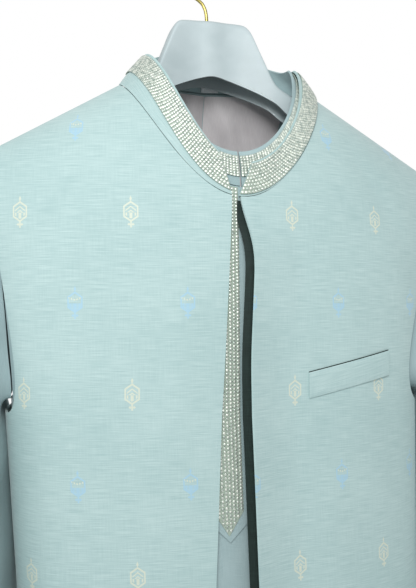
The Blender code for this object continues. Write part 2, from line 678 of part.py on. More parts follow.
def pajama():
    """The right leg lies over the bar and the left leg over it; the waistband ends the front fall."""
    folded_leg("pajama_leg_right", SEAM_GAP, LEG_THICK, PAJAMA_FALL["front"])
    folded_leg("pajama_leg_left", 2 * SEAM_GAP + LEG_THICK, LEG_THICK, PAJAMA_FALL["front"])
    bpy.ops.mesh.primitive_cube_add(size=1.0)
    band = bpy.context.active_object
    for owner in list(band.users_collection):
        owner.objects.unlink(band)
    PARTS.objects.link(band)
    band.name = "pajama_waistband"
    band.data.materials.append(plain_material("pajama_waistband_finish", COLOURS["kurta"]))
    thick = 2 * LEG_THICK + SEAM_GAP
    middle = BAR_RADIUS + SEAM_GAP + thick / 2
    for spot in band.data.vertices:
        spot.co.x *= 2 * PAJAMA_HALF
        spot.co.y *= thick
        spot.co.z *= WAISTBAND_HEIGHT
    band.location = (0, GARMENT_SHIFT[1] + middle, BAR_Z - PAJAMA_FALL["back"] - SEAM_GAP - WAISTBAND_HEIGHT / 2)
    bevel = band.modifiers.new("rounded_edges", "BEVEL")
    bevel.width = 0.003
    bevel.segments = 2


jacket_fronts()
jacket_back()
kurta_body()
collars()
placket()
pocket_welt()
sleeves()
neck_label()
hanger()
pajama()
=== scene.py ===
"""Looks of a kurta pajama set with a sleeveless jacket, hung on a moulded hanger.

The same body functions as the solids' give every cloth surface, on much finer grids.
World frame: X to the wearer's left, -Y to the front, +Z up, metres; the origin is under the hook's bend.
"""
import math

import bmesh
import bpy
import numpy as np
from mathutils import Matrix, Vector


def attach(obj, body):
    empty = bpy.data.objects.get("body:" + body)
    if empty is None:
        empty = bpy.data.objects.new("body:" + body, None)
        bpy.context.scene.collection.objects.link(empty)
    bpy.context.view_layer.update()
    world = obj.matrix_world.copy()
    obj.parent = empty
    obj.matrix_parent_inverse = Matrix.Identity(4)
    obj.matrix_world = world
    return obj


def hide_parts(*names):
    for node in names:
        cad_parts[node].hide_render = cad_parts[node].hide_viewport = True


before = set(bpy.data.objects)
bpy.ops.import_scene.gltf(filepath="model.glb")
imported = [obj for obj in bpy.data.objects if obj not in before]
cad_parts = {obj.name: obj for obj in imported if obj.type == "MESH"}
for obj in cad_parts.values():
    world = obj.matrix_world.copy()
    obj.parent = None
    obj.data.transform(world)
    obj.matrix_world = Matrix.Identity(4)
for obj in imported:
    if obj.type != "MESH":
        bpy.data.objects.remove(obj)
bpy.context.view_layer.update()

# Sizes of the garment, as in the solids
GARMENT_SHIFT = np.array([0.006, -0.024, 0.0])
SEAM_GAP = 0.0003
HALF_GAP = SEAM_GAP / 2
JACKET_WALL = 0.0022
KURTA_WALL = 0.0014
TRIM_WALL = 0.0010
KURTA_INSET = 0.0060
SHOULDER_SLOPE = 0.577
NECK_HALF = 0.101
NECK_SIDE_Z = -0.1385
SHOULDER_HALF = 0.228
UNDERARM_Z = -0.45
UNDERARM_HALF = 0.208
SHOULDER_FULLNESS = 0.06
WAIST_Z = -0.62
WAIST_HALF = 0.203
JACKET_HEM_Z = -0.86
JACKET_HEM_HALF = 0.212
FRONT_DEPTH = 0.088
FRONT_RISE = 0.055
BACK_DEPTH = 0.080
BACK_RISE = 0.024
RISE_POWER = 0.8
SECTION_POWER = 2.6
INSET_RISE = 0.03
UNDERARM_RAISE = 2.0
ARMHOLE_COVER = 2.0
SWAY = 0.006
ARMHOLE_SCOOP = {("front", -1): 0.014, ("front", 1): 0.037, ("back", -1): 0.022, ("back", 1): 0.022}
RIGHT_EDGE = {"height": (-0.255, -0.42, -0.62, -0.86), "across": (-0.0105, -0.020, -0.034, -0.044)}
LEFT_EDGE = {"height": (-0.255, -0.30, -0.40, -0.62, -0.86), "across": (-0.0043, 0.008, 0.002, 0.004, 0.010)}
LEFT_EDGE_LIFT = {"height": (-0.256, -0.30, -0.45, -0.86), "out": (0.0, 0.012, 0.016, 0.014)}
LIFT_REACH = 0.05
KURTA_HEM_Z = -1.17
KURTA_HEM_FLARE = 0.038
KURTA_HEM_FOLD = 0.007
SLIT_TOP_Z = -0.90
SLIT_OPEN = 0.004
JACKET_NECK = {"half": NECK_HALF, "side_z": NECK_SIDE_Z, "front": 0.1145, "back": -0.0115}
KURTA_NECK_HALF = 0.086
JACKET_COLLAR = {"half": 0.079, "front": 0.075, "back": 0.060, "side_z": -0.111, "drop": 0.110,
                 "back_z": -0.084, "power_left": 1.35, "power_right": 2.6}
KURTA_COLLAR = {"half": 0.0735, "front": 0.064, "back": 0.054, "side_z": -0.111, "drop": 0.098,
                "back_z": -0.087, "power_left": 1.3, "power_right": 1.3}
COLLAR_WALL = 0.0022
COLLAR_SEAM = 0.0007
JACKET_COLLAR_ENDS = {"top": (7.5, 345.0), "base": (-2.4, 354.0)}
KURTA_COLLAR_ENDS = {"top": (0.6, 359.4), "base": (0.6, 359.4)}
SEAT = 0.0008
PLACKET = {"left_x": -0.038, "right_x": 0.004, "end_z": -0.545, "tip_z": -0.566}
PLACKET_TRIM = {"left_x": -0.032, "right_x": -0.004, "end_z": -0.538, "tip_z": -0.560}
WELT = {"inner_x": 0.062, "outer_x": 0.152, "inner_z": -0.414, "outer_z": -0.396, "height": 0.024,
        "wall": 0.0014}
SLEEVE_LEVEL_Z = -0.47
ARMHOLE_SEAM = 0.0010
CUFF_Z = -0.81
SLEEVE_CENTRE = {"x": 0.229, "y": -0.004}
SLEEVE_HALF = {"long": 0.075, "thick": 0.021, "cuff_long": 0.068, "cuff_thick": 0.017}
SLEEVE_TURN = math.radians(17)

# Camera, from the fit of the neck and shoulder lines: distance from the neck's axis, turn and height
IMAGE = {"width": 416, "height": 588}
CAMERA = {"focal_px": 816.0, "distance": 0.82, "turn": math.radians(16), "height": -0.347,
          "centre_px": (219.0, 300.0)}

# Cloth pattern: the motif's spacing on the fabric
MOTIF_PITCH = 0.097
MOTIF_ROW = 0.0805
MOTIF_ROW_ZERO = -0.349
CHEST_Z = -0.347


def linear(red, green, blue):
    """A screen colour, 0 to 255, as linear light."""
    levels = np.array([red, green, blue]) / 255
    light = np.where(levels <= 0.04045, levels / 12.92, ((levels + 0.055) / 1.055) ** 2.4)
    return tuple(float(v) for v in light)


# Shader maths

class Value:
    """A number on its way through a material; Python operators add the Math nodes."""

    def __init__(self, finish, socket):
        self.finish = finish
        self.socket = socket

    def _do(self, operation, *others, swap=False):
        values = (self,) + others
        if swap:
            values = values[::-1]
        return self.finish.maths(operation, *values)

    def __add__(self, other):
        return self._do("ADD", other)

    __radd__ = __add__

    def __sub__(self, other):
        return self._do("SUBTRACT", other)

    def __rsub__(self, other):
        return self._do("SUBTRACT", other, swap=True)

    def __mul__(self, other):
        return self._do("MULTIPLY", other)

    __rmul__ = __mul__

    def __truediv__(self, other):
        return self._do("DIVIDE", other)

    def __abs__(self):
        return self._do("ABSOLUTE")

    def __neg__(self):
        return self._do("MULTIPLY", -1.0)

    def below(self, other):
        return self._do("LESS_THAN", other)

    def above(self, other):
        return self._do("GREATER_THAN", other)

    def smaller(self, other):
        return self._do("MINIMUM", other)

    def larger(self, other):
        return self._do("MAXIMUM", other)

    def sine(self):
        return self._do("SINE")

    def round(self):
        return self._do("ROUND")

    def floored(self, other):
        return self._do("FLOORED_MODULO", other)

    def power(self, other):
        return self._do("POWER", other)

    def soft(self, low, high):
        """0 below low, 1 above high, with a smooth step between."""
        out = self.finish.node("ShaderNodeMapRange", {"interpolation_type": "SMOOTHSTEP"},
                               {"Value": self, "From Min": low, "From Max": high})
        return Value(self.finish, out.outputs["Result"])


class Finish:
    """One material; its methods add nodes and return their outputs."""

    def __init__(self, name, roughness=0.8, metallic=0.0, sheen=0.0, specular=0.5, coat=0.0):
        self.material = bpy.data.materials.new(name)
        self.material.use_nodes = True
        self.tree = self.material.node_tree
        self.shader = self.tree.nodes["Principled BSDF"]
        for key, value in (("Roughness", roughness), ("Metallic", metallic), ("Sheen Weight", sheen),
                           ("Specular IOR Level", specular), ("Coat Weight", coat)):
            self.shader.inputs[key].default_value = value

    def put(self, socket, value):
        if isinstance(value, Value):
            self.tree.links.new(value.socket, socket)
        elif isinstance(value, bpy.types.NodeSocket):
            self.tree.links.new(value, socket)
        elif isinstance(value, tuple) and len(value) == 3 and socket.type == "RGBA":
            socket.default_value = (*value, 1.0)
        else:
            socket.default_value = value

    def node(self, kind, settings=None, inputs=None):
        made = self.tree.nodes.new(kind)
        for key, value in (settings or {}).items():
            setattr(made, key, value)
        for key, value in (inputs or {}).items():
            self.put(made.inputs[key], value)
        return made

    def maths(self, operation, *values):
        made = self.node("ShaderNodeMath", {"operation": operation}, dict(enumerate(values)))
        return Value(self, made.outputs[0])

    def cloth_place(self):
        """The piece's own map: across and along the cloth, in metres."""
        uv = self.node("ShaderNodeUVMap", {"uv_map": "cloth"})
        parts = self.node("ShaderNodeSeparateXYZ", {}, {0: uv.outputs[0]})
        return Value(self, parts.outputs[0]), Value(self, parts.outputs[1])

    def object_place(self):
        place = self.node("ShaderNodeTexCoord")
        parts = self.node("ShaderNodeSeparateXYZ", {}, {0: place.outputs["Object"]})
        return [Value(self, parts.outputs[k]) for k in range(3)]

    def noise(self, x, y, z=0.0, detail=2.0, roughness=0.5):
        place = self.node("ShaderNodeCombineXYZ", {}, {0: x, 1: y, 2: z})
        made = self.node("ShaderNodeTexNoise", {}, {"Vector": place.outputs[0], "Scale": 1.0,
                                                    "Detail": detail, "Roughness": roughness})
        return Value(self, made.outputs["Fac"])

    def blend(self, share, first, second):
        """A colour between two others."""
        made = self.node("ShaderNodeMix", {"data_type": "RGBA"}, {0: share, 6: first, 7: second})
        return made.outputs[2]

    def bump(self, height, strength, distance):
        made = self.node("ShaderNodeBump", {},
                         {"Height": height, "Strength": strength, "Distance": distance})
        self.put(self.shader.inputs["Normal"], made.outputs[0])

    def colour(self, value):
        self.put(self.shader.inputs["Base Color"], value)

    def roughness(self, value):
        self.put(self.shader.inputs["Roughness"], value)


def woven(finish, u, v, thread, slub_u=45.0, slub_v=1300.0):
    """Height of a plain weave with uneven threads: two crossed waves and drawn-out noise."""
    turns = 2 * math.pi / thread
    weave = (u * turns).sine() * (v * turns).sine()
    weft = finish.noise(u * slub_u, v * slub_v, 0.0, 3.0)
    warp = finish.noise(u * slub_v, v * slub_u, 4.0, 2.0)
    return weave, weft, warp


def motif(finish, u, v):
    """A staggered repeat of small woven buds: an outline with ribs, a stem below and a tip above.

    Rows change between cream gold and pale blue; a blue bud has a filled lower half and cream dashes.
    Returns the masks of cream and of blue thread. Lengths inside are in millimetres.
    """
    row = ((v - MOTIF_ROW_ZERO) / MOTIF_ROW).round()
    odd = row.floored(2.0)
    along = (v - MOTIF_ROW_ZERO - row * MOTIF_ROW) * 1000.0
    shifted = u / MOTIF_PITCH + odd * 0.5
    across = (shifted - shifted.round()) * (MOTIF_PITCH * 1000.0)
    side = abs(across)
    hexagon = (side / 6.6).larger(side / 13.5 + abs(along) / 9.6)
    inside = hexagon.below(1.0)
    outline = inside * hexagon.above(0.80)
    core = hexagon.below(0.70)
    rib = (side * 1.9 + 0.4).sine().above(0.25)
    chevron = ((along + side * 0.8) * 1.75).sine().above(0.35)
    stem = side.below(0.75) * along.below(-9.0) * along.above(-14.5)
    leaf = (abs(side - 1.7) / 1.5 + abs(along + 11.6) / 1.3).below(1.0)
    tip = (side / 1.1 + abs(along - 11.6) / 2.8).below(1.0)
    ends = (stem + leaf + tip).smaller(1.0)
    low = along.below(-1.0)
    dash = abs(along - 2.0 - side * 0.35).below(0.8) * (across * 2.6).sine().above(0.0) * side.below(5.6)
    cream_bud = (outline + core * (rib * low + chevron * (1.0 - low)) + ends).smaller(1.0)
    blue_bud = (outline + inside * low * (rib * 0.35 + 0.65) + ends).smaller(1.0)
    cream = odd * cream_bud + (1.0 - odd) * dash
    blue = (1.0 - odd) * blue_bud * (1.0 - dash)
    return cream, blue


def thread_break(u, v):
    """Short breaks along a motif's floats, where the ground cloth binds them."""
    return ((v * 5200.0).sine() * 0.5 + 0.5) * 0.35 + 0.65


def jacket_finish(name, with_motif=True):
    """Pale sea-green slubbed cloth; fine darker and lighter threads run across it."""
    finish = Finish(name, roughness=0.72, sheen=0.25, specular=0.25)
    u, v = finish.cloth_place()
    weave, weft, warp = woven(finish, u, v, 0.0011)
    cloud = finish.noise(u * 9.0, v * 14.0, 2.0, 3.0)
    tone = (weft * 0.62 + warp * 0.18 + cloud * 0.20).soft(0.30, 0.72)
    ground = finish.blend(tone, linear(160, 189, 189), linear(188, 212, 211))
    height = weave * 0.35 + weft * 0.9 + warp * 0.35
    colour = ground
    if with_motif:
        cream, blue = motif(finish, u, v)
        binding = thread_break(u, v)
        colour = finish.blend(blue * binding * 0.92, colour, linear(160, 200, 222))
        colour = finish.blend(cream * binding * 0.90, colour, linear(214, 218, 198))
        thread = (cream + blue).smaller(1.0)
        height = height * (1.0 - thread * 0.6) + thread * 1.6
        finish.roughness(0.74 - thread * 0.30)
    finish.colour(colour)
    finish.bump(height, 0.35, 0.0004)
    return finish.material


def kurta_finish():
    """Plain grey-blue cloth with a soft fine weave."""
    finish = Finish("kurta_cotton", roughness=0.78, sheen=0.2, specular=0.2)
    u, v = finish.cloth_place()
    weave, weft, warp = woven(finish, u, v, 0.0008, 60.0, 1500.0)
    cloud = finish.noise(u * 12.0, v * 9.0, 3.0, 3.0)
    tone = (weft * 0.4 + warp * 0.3 + cloud * 0.3).soft(0.30, 0.72)
    finish.colour(finish.blend(tone, linear(150, 175, 178), linear(172, 194, 196)))
    finish.bump(weave * 0.4 + weft * 0.6 + warp * 0.5, 0.3, 0.0003)
    return finish.material


def lining_finish():
    """Grey-mauve lining with a faint satin gloss and long soft creases, with painted shade and light along
    the creases.
    """
    finish = Finish("neck_lining_satin", roughness=0.48, sheen=0.15, specular=0.4)
    u, v = finish.cloth_place()
    weave, _, warp = woven(finish, u, v, 0.0006, 90.0, 1800.0)
    crease_and_shade = finish.noise(u * 38.0 + v * 14.0, v * 16.0, 5.0, 3.0)
    # The colour follows the crease noise: painted shade and light along the creases, mixed with the real
    # tone of the warp threads.
    tone = (crease_and_shade * 0.7 + warp * 0.3).soft(0.28, 0.75)
    finish.colour(finish.blend(tone, linear(196, 192, 194), linear(228, 224, 225)))
    finish.bump(crease_and_shade * 6.0 + weave * 0.2 + warp * 0.4, 0.5, 0.0006)
    return finish.material


def painted_shade_strip_finish():
    """Deep green-black painted shade: a near-black cloth that stands for the shadow beside the jacket's left
    front edge and above the welt.
    """
    finish = Finish("painted_shade_strip_cloth", roughness=0.6, sheen=0.1, specular=0.2)
    u, v = finish.cloth_place()
    _, weft, warp = woven(finish, u, v, 0.0007, 80.0, 1500.0)
    tone = (weft * 0.5 + warp * 0.5).soft(0.3, 0.7)
    # Painted shade: these near-black greens are shadow colours, not a cloth's own colour.
    finish.colour(finish.blend(tone, linear(16, 30, 27), linear(30, 48, 44)))
    finish.bump(weft + warp, 0.25, 0.0003)
    return finish.material


def trim_base_finish():
    """Net ground of the sequinned trim."""
    finish = Finish("trim_net", roughness=0.7, specular=0.3)
    u, v = finish.cloth_place()
    grain = finish.noise(u * 900.0, v * 900.0, 0.0, 2.0)
    finish.colour(finish.blend(grain, linear(140, 160, 146), linear(182, 196, 182)))
    finish.bump(grain, 0.4, 0.0004)
    return finish.material


def sequin_finish():
    """Small metallic squares, pale champagne with a green cast; a fine noise paints some of them brighter as
    painted glints and also varies their roughness.
    """
    finish = Finish("square_sequins", roughness=0.3, metallic=0.55, specular=0.7)
    x, y, z = finish.object_place()
    painted_glint_noise = finish.noise(x * 330.0, z * 330.0 + y * 70.0, 0.0, 1.0)
    # Painted glints: the brighter colour stands for light caught by some sequins.
    finish.colour(finish.blend(painted_glint_noise.soft(0.30, 0.70), linear(178, 192, 184), linear(236, 242, 232)))
    finish.roughness(0.22 + painted_glint_noise * 0.35)
    return finish.material


def plastic_finish():
    """Pale grey-blue moulded plastic with a soft gloss and faint flow marks."""
    finish = Finish("moulded_plastic", roughness=0.44, specular=0.4, coat=0.04)
    x, y, z = finish.object_place()
    flow = finish.noise(x * 26.0, z * 40.0, y * 30.0, 3.0)
    fine = finish.noise(x * 900.0, z * 900.0, y * 900.0, 2.0)
    finish.colour(finish.blend(flow.soft(0.25, 0.75), linear(176, 191, 194), linear(188, 202, 205)))
    finish.roughness(0.40 + flow * 0.12 + fine * 0.06)
    finish.bump(fine, 0.12, 0.0002)
    return finish.material


def brass_finish():
    """Thin gilt wire with a drawn grain."""
    finish = Finish("gilt_wire", roughness=0.28, metallic=1.0)
    x, y, z = finish.object_place()
    grain = finish.noise(x * 500.0, y * 500.0, z * 60.0, 2.0)
    finish.colour(finish.blend(grain, linear(150, 134, 62), linear(214, 200, 128)))
    finish.roughness(0.2 + grain * 0.2)
    return finish.material


def label_finish():
    """Plain woven label with a fine twill and nothing on it."""
    finish = Finish("blank_label", roughness=0.6, sheen=0.1)
    u, v = finish.cloth_place()
    twill = ((u + v) * 9000.0).sine()
    tone = finish.noise(u * 700.0, v * 700.0, 0.0, 2.0)
    finish.colour(finish.blend(tone, linear(206, 214, 218), linear(236, 240, 242)))
    finish.bump(twill, 0.25, 0.0002)
    return finish.material


# Meshes from grids

def grid_faces(rows, cols, closed=False):
    """Quads of a grid of rows and columns; a closed one runs round in its columns."""
    row, col = np.meshgrid(np.arange(rows - 1), np.arange(cols if closed else cols - 1), indexing="ij")
    beside = (col + 1) % cols
    quads = np.stack([row * cols + col, (row + 1) * cols + col, (row + 1) * cols + beside,
                      row * cols + beside], axis=-1)
    return quads.reshape(-1, 4)


def make_mesh(name, points, faces, uv=None):
    """A mesh from arrays of points and faces, with an optional map value for each point."""
    mesh = bpy.data.meshes.new(name)
    faces = np.asarray(faces, dtype=np.int32)
    size = faces.shape[1]
    mesh.vertices.add(len(points))
    mesh.vertices.foreach_set("co", np.asarray(points, dtype=np.float32).ravel())
    mesh.loops.add(faces.size)
    mesh.loops.foreach_set("vertex_index", faces.ravel())
    mesh.polygons.add(len(faces))
    mesh.polygons.foreach_set("loop_start", np.arange(len(faces), dtype=np.int32) * size)
    mesh.update(calc_edges=True)
    mesh.validate()
    if uv is not None:
        layer = mesh.uv_layers.new(name="cloth")
        layer.data.foreach_set("uv", np.asarray(uv, dtype=np.float32)[faces.ravel()].ravel())
    return mesh


def place(name, mesh, material, slot, replaces=()):
    """One finished piece on the garment's single body."""
    piece = bpy.data.objects.new(name, mesh)
    bpy.context.scene.collection.objects.link(piece)
    mesh.materials.append(material)
    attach(piece, "root")
    if replaces:
        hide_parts(*replaces)
    return piece


def apply_modifiers(piece, sharp=40):
    """Turn the live modifiers into the mesh and mark its sharp edges."""
    graph = bpy.context.evaluated_depsgraph_get()
    graph.update()
    done = bpy.data.meshes.new_from_object(piece.evaluated_get(graph))
    piece.modifiers.clear()
    piece.data = done
    done.shade_smooth()
    done.set_sharp_from_angle(angle=math.radians(sharp))


def cut_size(grid, closed):
    """Width, length and area of the flat cut: the longest row, the longest column and the grid's area."""
    ring = np.concatenate([grid, grid[:, :1]], axis=1) if closed else grid
    width = np.linalg.norm(np.diff(ring, axis=1), axis=-1).sum(axis=1).max()
    length = np.linalg.norm(np.diff(ring, axis=0), axis=-1).sum(axis=0).max()
    corner = ring[:-1, :-1]
    spans = np.cross(ring[1:, 1:] - corner, ring[1:, :-1] - ring[:-1, 1:])
    area = np.linalg.norm(spans, axis=-1).sum() / 2
    return float(width), float(length), float(min(area, width * length))


def cloth(name, grid, material, slot, wall, inward, replaces=(), uv=None, closed=False, sharp=50,
          held="hung"):
    """A cloth wall whose outer face is the grid; inward is a point or direction on the inner side."""
    rows, cols = grid.shape[:2]
    faces = grid_faces(rows, cols, closed)
    points = grid.reshape(-1, 3) + GARMENT_SHIFT
    a, b, c = (points[faces[:, k]] for k in range(3))
    normals = np.cross(b - a, c - a)
    centres = (a + c) / 2
    toward = np.asarray(inward)[None] + GARMENT_SHIFT - centres if np.ndim(inward) == 1 else inward
    if np.sum(normals * toward) > 0:
        faces = faces[:, ::-1]
    if uv is None:
        uv = cloth_map(grid)
    mesh = make_mesh(name, points, faces, uv.reshape(-1, 2))
    piece = place(name, mesh, material, slot, replaces)
    wall_modifier = piece.modifiers.new("wall", "SOLIDIFY")
    wall_modifier.thickness = wall
    wall_modifier.offset = -1.0
    apply_modifiers(piece, sharp)
    if held:
        width, length, area = cut_size(grid, closed)
    return piece


def cloth_map(grid, start=0.0):
    """Lengths along the cloth: across from the first column, and down from the chest line."""
    across = np.linalg.norm(np.diff(grid, axis=1), axis=-1)
    u = np.concatenate([np.zeros((grid.shape[0], 1)), np.cumsum(across, axis=1)], axis=1) + start
    down = np.linalg.norm(np.diff(grid, axis=0), axis=-1)
    length = np.concatenate([np.zeros((1, grid.shape[1])), np.cumsum(down, axis=0)], axis=0)
    chest_row = np.argmin(np.abs(grid[..., 2] - CHEST_Z), axis=0)
    at_chest = length[chest_row, np.arange(grid.shape[1])]
    return np.stack([u, CHEST_Z - (length - at_chest)], axis=-1)


def fabric_map(grid, side):
    """Weft length along level lines from the middle; the warp hangs upright, so it is read as height.

    The length is summed on a table of the body's depth and read between its points.
    """
    table_x = np.linspace(0, 0.26, 131)
    table_z = np.linspace(-0.12, KURTA_HEM_Z, 421)
    x, z = np.meshgrid(table_x, table_z)
    depth = body_depth(x, z, 0.0, side)
    weft = np.hypot(np.diff(depth, axis=1), np.diff(x, axis=1))
    weft = np.concatenate([np.zeros((len(table_z), 1)), np.cumsum(weft, axis=1)], axis=1)
    own_x = grid[..., 0] - sway(grid[..., 2])
    column = np.clip(np.abs(own_x) / 0.26 * 130, 0, 129.999)
    row = np.clip((grid[..., 2] + 0.12) / (KURTA_HEM_Z + 0.12) * 420, 0, 419.999)
    c, r = column.astype(int), row.astype(int)
    p, q = column - c, row - r

    upper = weft[r, c] * (1 - p) + weft[r, c + 1] * p
    lower = weft[r + 1, c] * (1 - p) + weft[r + 1, c + 1] * p
    return np.stack([np.sign(own_x) * (upper * (1 - q) + lower * q), grid[..., 2]], axis=-1)


# Body functions, as in the solids. inset is how far a layer lies inside the jacket's outer face.

def section_half(z, inset):
    heights = (KURTA_HEM_Z, JACKET_HEM_Z, WAIST_Z, UNDERARM_Z)
    widths = (JACKET_HEM_HALF, JACKET_HEM_HALF, WAIST_HALF, UNDERARM_HALF)
    width = np.interp(z, heights, widths)
    above = np.clip((z - UNDERARM_Z) / (NECK_SIDE_Z - UNDERARM_Z), 0, 1)
    below = np.clip((JACKET_HEM_Z - z) / (JACKET_HEM_Z - KURTA_HEM_Z), 0, 1)
    return width + SHOULDER_FULLNESS * above ** 1.5 - inset + KURTA_HEM_FLARE * below ** 1.3


def ridge_height(x, inset):
    return NECK_SIDE_Z - (np.abs(x) - NECK_HALF) * SHOULDER_SLOPE - 1.15 * inset


def body_depth(x, z, inset, side):
    reach, rise = (FRONT_DEPTH, FRONT_RISE) if side == "front" else (BACK_DEPTH, BACK_RISE)
    fall = np.maximum(ridge_height(x, inset) - z, 0)
    depth = reach * (1 - np.exp(-(fall / rise) ** RISE_POWER))
    depth = depth - inset * (1 - np.exp(-fall / INSET_RISE))
    share = np.clip(np.abs(x) / section_half(z, inset), 0, 1)
    return depth * (1 - share ** SECTION_POWER) ** (1 / SECTION_POWER)


def hem_fold(x, z):
    share = np.clip((JACKET_HEM_Z - z) / (JACKET_HEM_Z - KURTA_HEM_Z), 0, 1)
    return KURTA_HEM_FOLD * share * np.cos(x * 52) * np.cos(x / 0.255 * math.pi / 2)


def sway(z):
    return SWAY * np.clip((UNDERARM_Z - z) / (UNDERARM_Z - WAIST_Z), 0, 1)


def body_point(x, z, inset, side, out=HALF_GAP):
    direction = -1 if side == "front" else 1
    depth = body_depth(x, z, inset, side) + out + hem_fold(x, z)
    return np.stack([x + sway(z), direction * depth, z + 0 * x], axis=-1)


def outer_half(z, inset, side, hand):
    underarm = UNDERARM_Z + UNDERARM_RAISE * inset
    tip = SHOULDER_HALF - inset
    tip_z = float(ridge_height(tip, inset))
    share = np.clip((tip_z - z) / (tip_z - underarm), 0, 1)
    scoop = share ** 1.3 * np.sqrt(1 - share ** 6) / 0.645
    straight = tip + (UNDERARM_HALF - inset - tip) * share
    reach = (ARMHOLE_SCOOP[(side, hand)] - ARMHOLE_COVER * inset) * scoop * 0.75
    return np.where(z > underarm, straight - reach, section_half(z, inset))


def neck_line(x, neck, side):
    return neck["side_z"] - neck[side] * (1 - (np.abs(x) / neck["half"]) ** 2)


KURTA_NECK = {"half": KURTA_NECK_HALF, "side_z": float(ridge_height(KURTA_NECK_HALF, KURTA_INSET)),
              "front": 0.106, "back": -0.010}


def table_curve(table, key):
    """A line through a short table of heights, rounded at its points."""
    heights = np.array(table["height"])[::-1]
    values = np.array(table[key])[::-1]
    fine = np.linspace(heights[0], heights[-1], 241)
    line = np.interp(fine, heights, values)
    window = np.hanning(31) / np.hanning(31).sum()
    padded = np.concatenate([np.full(15, line[0]), line, np.full(15, line[-1])])
    rounded = np.convolve(padded, window, mode="valid")
    return lambda z: np.interp(z, fine, rounded)


def dense_shares(neck, inset, start, neck_steps, side_steps):
    """Shares of the way from the start to the side, dense and even, with a column at the neck's corner."""
    width = SHOULDER_HALF - inset
    turn = np.linspace(0, math.pi / 2, neck_steps + 1)
    first = start + (neck["half"] - start) * np.sin(turn) ** 0.9
    angle = np.linspace(0, math.pi / 2, side_steps + 1)[1:]
    last = neck["half"] + (width - neck["half"]) * np.sin(angle) ** 0.9
    return (np.concatenate([first, last]) - start) / (width - start)


def row_heights(top, inset, hem_z, above_steps, below_steps):
    underarm = UNDERARM_Z + UNDERARM_RAISE * inset
    above = (1 - np.cos(np.arange(above_steps) / above_steps * math.pi)) / 2
    below = np.linspace(0, 1, below_steps + 1)
    upper = top[None] + (underarm - top[None]) * above[:, None]
    lower = underarm + (hem_z - underarm) * below[:, None] + 0 * top[None]
    return np.concatenate([upper, lower])


def panel(neck, inset, side, hand, hem_z, edge=None, steps=(30, 40, 90, 100)):
    """Half a panel from the middle or front edge to the side, as a dense grid of outer points."""
    neck_steps, side_steps, above_steps, below_steps = steps
    begin = 0.0 if edge is None else float(edge(NECK_SIDE_Z)) * hand
    shares = dense_shares(neck, inset, begin, neck_steps, side_steps)
    top_x = (begin + shares * (SHOULDER_HALF - inset - begin)) * hand
    top = np.where(np.abs(top_x) < neck["half"], neck_line(top_x, neck, side), ridge_height(top_x, inset))
    top = top - (HALF_GAP if side == "front" else 0)
    z = row_heights(top, inset, hem_z, above_steps, below_steps)
    out = outer_half(z, inset, side, hand)
    start = np.zeros_like(z) if edge is None else edge(z) * hand
    x = (start + shares[None] * (out - start)) * hand
    return body_point(x, z, inset, side)


def creases(x, z, table):
    """Soft troughs and ridges placed one by one: each runs along a line and fades at its ends.

    Columns: middle x and z, angle from upright in degrees, half length, half width, height.
    """
    lift = np.zeros_like(x)
    for mid_x, mid_z, angle, half_length, half_width, height in table:
        turn = math.radians(angle)
        along = (x - mid_x) * math.sin(turn) + (z - mid_z) * math.cos(turn)
        across = (x - mid_x) * math.cos(turn) - (z - mid_z) * math.sin(turn)
        across = across + 0.15 * half_width * np.sin(along / half_length * 2.5)
        lift += height * np.exp(-(along / half_length) ** 2 - (across / half_width) ** 2)
    return lift


def push_out(grid, lift, side):
    """Move points out from the body by lift, in Y."""
    moved = grid.copy()
    moved[..., 1] += lift * (-1 if side == "front" else 1)
    return moved


def edge_fade(grid, reach=0.02):
    """1 in the middle of a panel and 0 at its top and side edges, so seams stay where they are."""
    rows, cols = grid.shape[:2]
    down = np.linalg.norm(np.diff(grid, axis=0), axis=-1)
    length = np.concatenate([np.zeros((1, cols)), np.cumsum(down, axis=0)], axis=0)
    across = np.linalg.norm(np.diff(grid, axis=1), axis=-1)
    width = np.concatenate([np.cumsum(across[:, ::-1], axis=1)[:, ::-1], np.zeros((rows, 1))], axis=1)
    first = np.concatenate([np.zeros((rows, 1)), np.cumsum(across, axis=1)], axis=1)
    return np.clip(length / reach, 0, 1) * np.clip(np.minimum(width, first + reach) / reach, 0, 1)


# Pieces of the jacket

JACKET_CREASES = {
    -1: ((-0.15, -0.25, 28, 0.07, 0.012, -0.0012), (-0.06, -0.40, 4, 0.12, 0.020, 0.0010),
         (-0.12, -0.52, -6, 0.14, 0.022, -0.0011), (-0.17, -0.62, -4, 0.12, 0.018, 0.0012),
         (-0.05, -0.72, 3, 0.10, 0.020, -0.0010), (-0.11, -0.20, 60, 0.05, 0.010, 0.0008)),
    1: ((0.15, -0.25, -28, 0.07, 0.012, -0.0012), (0.045, -0.36, -5, 0.10, 0.016, 0.0012),
        (0.16, -0.50, -8, 0.14, 0.020, -0.0013), (0.09, -0.60, 4, 0.12, 0.022, 0.0011),
        (0.05, -0.74, -2, 0.10, 0.018, -0.0010), (0.18, -0.68, 3, 0.12, 0.016, 0.0012)),
}
BACK_CREASES = ((0.0, -0.40, 2, 0.16, 0.020, 0.0012), (-0.09, -0.50, 7, 0.14, 0.020, -0.0012),
                (0.10, -0.55, -6, 0.16, 0.022, 0.0013), (-0.15, -0.70, -3, 0.12, 0.018, 0.0012),
                (0.05, -0.75, 3, 0.10, 0.020, -0.0011), (0.14, -0.30, -22, 0.06, 0.012, -0.0010),
                (-0.14, -0.30, 22, 0.06, 0.012, -0.0010))


def jacket_edge(hand):
    return table_curve(RIGHT_EDGE if hand == -1 else LEFT_EDGE, "across")


